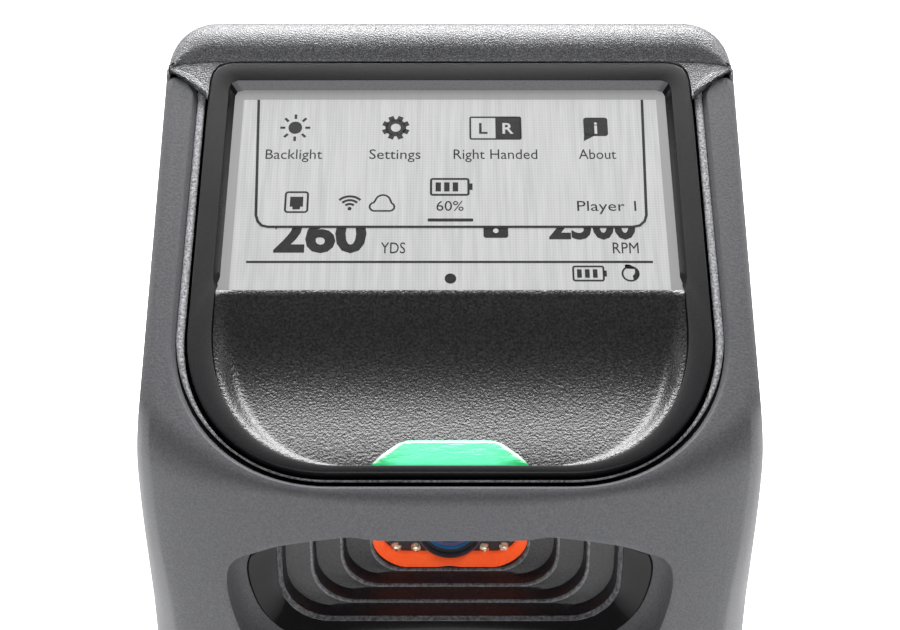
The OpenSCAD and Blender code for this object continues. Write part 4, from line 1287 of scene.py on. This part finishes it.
def loop_section(index, count):
    """A rounded section of the loop, from the middle of its outer face round to the same place."""
    (oy, oz), (iy, iz) = outer_path[index], inner_path[index]
    share = index / (len(outer_path) - 1)
    flare = 7.0 * max(0.0, 1 - share / 0.16) ** 2 + 9.0 * max(0.0, (share - 0.84) / 0.16) ** 2
    wide = HANDLE_HALF + flare
    middle = ((oy + iy) / 2, (oz + iz) / 2)
    deep = math.dist((oy, oz), (iy, iz)) / 2
    away = ((oy - iy) / (2 * deep), (oz - iz) / (2 * deep))
    power = 2 / 3.4
    line = []
    for k in range(count):
        a = 2 * math.pi * k / count
        x = wide * math.copysign(abs(math.sin(a)) ** power, math.sin(a))
        d = deep * math.copysign(abs(math.cos(a)) ** power, math.cos(a))
        line.append((x, middle[0] + away[0] * d, middle[1] + away[1] * d))
    return line


handle_finish = grained("handle_nylon", (40, 40, 42), (78, 78, 81), 2300.0, 0.00008, 0.5, 0.3)
loop = Skin()
rings = [loop_section(i, 56) for i in range(len(outer_path))]
loop.grid(rings, 0, loop=True)
loop.cap(rings[0])
loop.cap(rings[-1])
handle = loop.build("carry_handle", [handle_finish], sharp=50)
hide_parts("handle_frame")
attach(handle, "housing")

rubber = grained("soft_grip", (22, 22, 23), (40, 40, 42), 1700.0, 0.00005, 0.74, 0.3)
PAD_COUNT = 224
pad = Skin()
rows = []
first, last = 22, 70
for i in range(first, last + 1):
    end = min(1.0, min(i - first, last - i) / 2.5)
    section = loop_section(i, PAD_COUNT)
    (oy, oz), (iy, iz) = outer_path[i], inner_path[i]
    size = math.dist((oy, oz), (iy, iz))
    away = ((oy - iy) / size, (oz - iz) / size)
    rib = 0.35 * abs(math.sin(math.pi * (i - first) * 0.5)) if 4 < i - first < last - first - 4 else 0.0
    line = []
    for k in range(-36, 37):
        x, y, z = section[k % PAD_COUNT]
        side = min(1.0, (36 - abs(k)) / 3.0)
        ribbed = rib * min(1.0, max(0.0, (30 - abs(k)) / 6.0))
        lift = 0.55 * math.sin(math.pi / 2 * min(end, side)) - 0.12 + ribbed
        line.append((x, y + away[0] * lift, z + away[1] * lift))
    rows.append(line)
pad.grid(rows)
grip = pad.build("grip_pad", [rubber], inside=(0, 50, 200), sharp=50)
thicken(grip, 1.0)
bake(grip, 50)
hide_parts("handle_cover")
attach(grip, "housing")


# --- Screw caps -----------------------------------------------------------------------------------
# Two push-in caps of dull nylon cover the long screws at the top of the back.
def ring_round(x, y, z, radius, count):
    """A ring of points about an axis that points backwards."""
    turns = [2 * math.pi * k / count for k in range(count)]
    return [(x + radius * math.cos(a), y, z + radius * math.sin(a)) for a in turns]


cap_finish = grained("cap_nylon", (18, 18, 19), (34, 34, 36), 1900.0, 0.00004, 0.55, 0.2)
caps = Skin()
for x in (-38.0, 38.0):
    rings = []
    for r, y in ((4.0, 24.4), (4.0, 27.8), (3.8, 28.05), (3.4, 28.15), (2.0, 28.1), (1.1, 27.9),
                 (0.8, 27.5)):
        rings.append(ring_round(x, y, 232, r, 32))
    caps.grid(rings, 0, loop=True)
    caps.cap(rings[0])
    caps.cap(rings[-1])
cap_pair = caps.build("screw_cap_pair", [cap_finish])
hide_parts("screw_caps")
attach(cap_pair, "housing")


# --- Power button ---------------------------------------------------------------------------------
# A satin dished button in a translucent ring that lights up, held behind the lower back wall by
# a steel bracket; a thin pale mark, a broken circle and a bar, lies over its dished face.
button_finish = grained("button_satin", (58, 58, 61), (76, 76, 80), 2200.0, 0.00002, 0.4, 0.2)
mark_finish = grained("button_mark", (190, 190, 190), (215, 215, 215), 2200.0, 0.00001, 0.4, 0.2)
ring_finish = Finish("frosted_ring", Roughness=0.35, Emission_Strength=0.35)
cloud = ring_finish.noise(700.0, 3.0)
ring_finish.set("Base Color", ring_finish.mix(cloud, tint(190, 215, 196), tint(226, 240, 228)))
ring_finish.set("Emission Color", ring_finish.mix(cloud, tint(90, 200, 130), tint(150, 235, 180)))
ring_finish.set("Normal", ring_finish.bump(cloud, 0.00002))
button = Skin()
rings = []
for r, y in ((2.5, 71.0), (2.5, 73.0), (7.0, 73.0), (7.0, 76.7), (6.85, 77.05), (6.5, 77.2), (5.0, 76.95),
             (2.5, 76.72), (0.4, 76.7)):
    rings.append(ring_round(0.0, y, 89, r, 48))
button.grid(rings, 0, loop=True)
button.cap(rings[0])
button.cap(rings[-1])
ARC_STEPS = 28
for i in range(ARC_STEPS):
    a0, a1 = (math.radians(125.0 + 290.0 * (i + j) / ARC_STEPS) for j in (0, 1))
    spots = ((2.4, a0), (3.0, a0), (3.0, a1), (2.4, a1))
    corners = [(r * math.cos(a), 76.98, 89 + r * math.sin(a)) for r, a in spots]
    at = len(button.points)
    button.points += corners
    button.faces.append((at, at + 1, at + 2, at + 3))
    button.slots.append(1)
at = len(button.points)
button.points += [(-0.3, 77.0, 90.0), (0.3, 77.0, 90.0), (0.3, 77.0, 92.6), (-0.3, 77.0, 92.6)]
button.faces.append((at, at + 1, at + 2, at + 3))
button.slots.append(1)
pressed = button.build("power_button_cap", [button_finish, mark_finish], sharp=40)
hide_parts("power_button")
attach(pressed, "power_button")
halo = Skin()
rings = []
for r, y in ((10.0, 69.2), (10.0, 75.9), (9.8, 76.3), (9.3, 76.5), (7.8, 76.5), (7.4, 76.3), (7.3, 75.9),
             (7.3, 71.6), (3.4, 71.6), (3.4, 69.2)):
    rings.append(ring_round(0.0, y, 89, r, 56))
halo.grid(rings + rings[:1], 0, loop=True)
ring_piece = halo.build("button_light_ring", [ring_finish.material], sharp=40)
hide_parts("button_ring")
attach(ring_piece, "housing")


# --- Port bay and door ----------------------------------------------------------------------------
# A recess for the sockets in the lower back: a black tray with a hinged door of thin nylon whose
# two knuckles turn on a steel pin, and a thumb scoop at the door's free side.
door_finish = grained("door_nylon", (40, 40, 42), (80, 80, 83), 2300.0, 0.00006, 0.5, 0.25)
for node in ("port_door", "port_bay"):
    made = frame["nodes"][node]
    made.data.materials.clear()
    made.data.materials.append(door_finish if node == "port_door" else cap_finish)


# --- Feet and base --------------------------------------------------------------------------------
# Four moulded rubber feet with ribbed soles are glued into the base plate, a flat nylon moulding
# that four countersunk steel screws hold up against the chassis.
foot_finish = grained("foot_rubber", (16, 16, 17), (30, 30, 31), 1500.0, 0.00006, 0.8, 0.3)
feet = Skin()
for x in (-40.0, 40.0):
    for y in (-60.0, 57.0):
        rings = []
        for r, z in ((0.6, 0.5), (2.2, 0.5), (2.3, 0.0), (3.4, 0.0), (3.5, 0.5), (4.8, 0.5), (4.9, 0.0),
                     (6.0, 0.0), (6.1, 0.5), (7.0, 0.35), (7.3, 0.05), (7.7, 0.2), (8.0, 0.8),
                     (8.0, 3.9), (0.6, 3.95)):
            turns = [2 * math.pi * k / 40 for k in range(40)]
            rings.append([(x + r * math.cos(a), y + r * math.sin(a), z) for a in turns])
        feet.grid(rings, 0, loop=True)
        feet.cap(rings[0])
        feet.cap(rings[-1])
feet_piece = feet.build("ribbed_feet", [foot_finish], sharp=40)
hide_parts("rubber_feet")
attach(feet_piece, "housing")
frame["nodes"]["base_plate"].data.materials.clear()
frame["nodes"]["base_plate"].data.materials.append(handle_finish)


# --- Insides --------------------------------------------------------------------------------------
# What the shells hide keeps its exact solids: plated steel, solder-masked boards, wrapped cells,
# nickel sockets and white diffuser, each with its own worn or speckled surface.
def metal(name, low, high, rough, grain=900.0):
    made = Finish(name, Metallic=0.9)
    stretched = made.node("ShaderNodeMapping", {}, {0: made.place, 3: (60.0, 60.0, grain)})
    brushed = made.noise(1.0, 3.0, 0.6, stretched)
    stain = made.noise(45.0, 3.0)
    made.set("Base Color", made.mix((brushed * 0.5 + stain * 0.5).step(0.3, 0.7), tint(*low), tint(*high)))
    made.set("Roughness", rough + (brushed - 0.5) * 0.2)
    made.set("Normal", made.bump(brushed, 0.00002))
    return made.material


def board(name, low, high):
    made = Finish(name, Coat_Weight=0.3)
    x, _, z = made.axes()
    tracks = ((x * 2600.0).sine() * (z * 1900.0).sine()).step(0.2, 0.35)
    specks = made.cells(420.0).step(0.18, 0.22)
    made.set("Base Color", made.mix(specks, tint(190, 170, 120), made.mix(tracks, tint(*low), tint(*high))))
    made.set("Roughness", 0.35 + (1.0 - specks) * 0.2)
    made.set("Normal", made.bump(tracks, 0.00003))
    return made.material


INSIDE = {
    "sheet_metal": metal("zinc_sheet", (150, 152, 155), (186, 188, 190), 0.38),
    "steel": metal("plated_steel", (120, 121, 124), (168, 169, 172), 0.3),
    "aluminium": metal("extruded_aluminium", (160, 162, 165), (205, 206, 208), 0.34, 1500.0),
    "brass": metal("brass_pillar", (160, 128, 60), (200, 168, 92), 0.3),
    "circuit_board": board("solder_mask", (10, 66, 38), (22, 92, 56)),
    "flex_circuit": board("amber_flex", (150, 88, 22), (186, 118, 40)),
    "white_plastic": grained("diffuser_white", (214, 214, 210), (232, 232, 228), 900.0, 0.00001, 0.5, 0.2),
    "lcd_film": grained("polariser_film", (120, 124, 122), (150, 153, 151), 900.0, 0.000004, 0.25, 0.2),
    "battery_wrap": grained("cell_wrap", (24, 52, 118), (36, 70, 146), 800.0, 0.00003, 0.35, 0.3,
                            Coat_Weight=0.3),
    "matte_black": cap_finish,
    "satin_plastic": handle_finish,
}
own_finish = {"port_door", "port_bay", "base_plate"}
for entry in frame["record"]["subparts"]:
    made = frame["nodes"][entry["node"]]
    if entry["node"] in own_finish or made.hide_render:
        continue
    made.data.materials.clear()
    made.data.materials.append(INSIDE.get(entry["material_slot"], cap_finish))


# --- Floor, light and camera ----------------------------------------------------------------------
# A pale seamless floor and soft studio panels, all set dressing: a broad panel above and
# behind, one in front and a pair of strips at the sides.
paper = Finish("pale_paper", Roughness=0.9)
fibre = paper.noise(60.0, 4.0)
paper.set("Base Color", paper.mix(fibre.step(0.3, 0.7), tint(250, 250, 250), tint(255, 255, 255)))
paper.set("Emission Color", (1.0, 1.0, 1.0, 1.0))
paper.set("Emission Strength", 0.6)
paper.set("Normal", paper.bump(paper.noise(900.0, 2.0), 0.00004))
sweep = Skin()
sweep.grid([[(x, y, 0.0) for x in between(-3000, 3000, 12)] for y in between(-3000, 3000, 12)])
floor = sweep.build("floor", [paper.material])
floor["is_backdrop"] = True


def panel(name, place, aim, size, power, colour=(1.0, 1.0, 1.0)):
    lamp = bpy.data.lights.new(name, "AREA")
    lamp.shape = "RECTANGLE"
    lamp.size, lamp.size_y = size
    lamp.energy = power
    lamp.color = colour
    made = bpy.data.objects.new(name, lamp)
    bpy.context.scene.collection.objects.link(made)
    made.location = place
    made.rotation_euler = (Vector(aim) - Vector(place)).to_track_quat("-Z", "Y").to_euler()
    made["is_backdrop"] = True
    return made


panel("top_panel", (0.0, 0.55, 1.0), (0, 0.0, 0.26), (1.1, 0.5), 34.0)
panel("front_panel", (0.0, -1.5, 0.35), (0, 0.0, 0.2), (1.0, 0.6), 5.0)
panel("left_strip", (-1.0, 0.45, 0.4), (0, 0.0, 0.2), (0.4, 0.8), 7.0)
panel("right_strip", (1.0, 0.45, 0.4), (0, 0.0, 0.2), (0.4, 0.8), 7.0)

world = bpy.data.worlds.new("studio")
world.use_nodes = True
world.node_tree.nodes["Background"].inputs["Color"].default_value = (1.0, 1.0, 1.0, 1.0)
world.node_tree.nodes["Background"].inputs["Strength"].default_value = 0.3
bpy.context.scene.world = world

view = bpy.data.cameras.new("camera")
view.lens = 60.0
view.sensor_width = 36.0
view.clip_start = 0.01
camera = bpy.data.objects.new("camera", view)
bpy.context.scene.collection.objects.link(camera)
camera.location = (0.0, -0.3384, 0.4005)
camera.rotation_euler = (math.radians(63.6), 0.0, 0.0)
bpy.context.scene.camera = camera
bpy.context.scene.view_settings.view_transform = "Standard"

low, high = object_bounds()
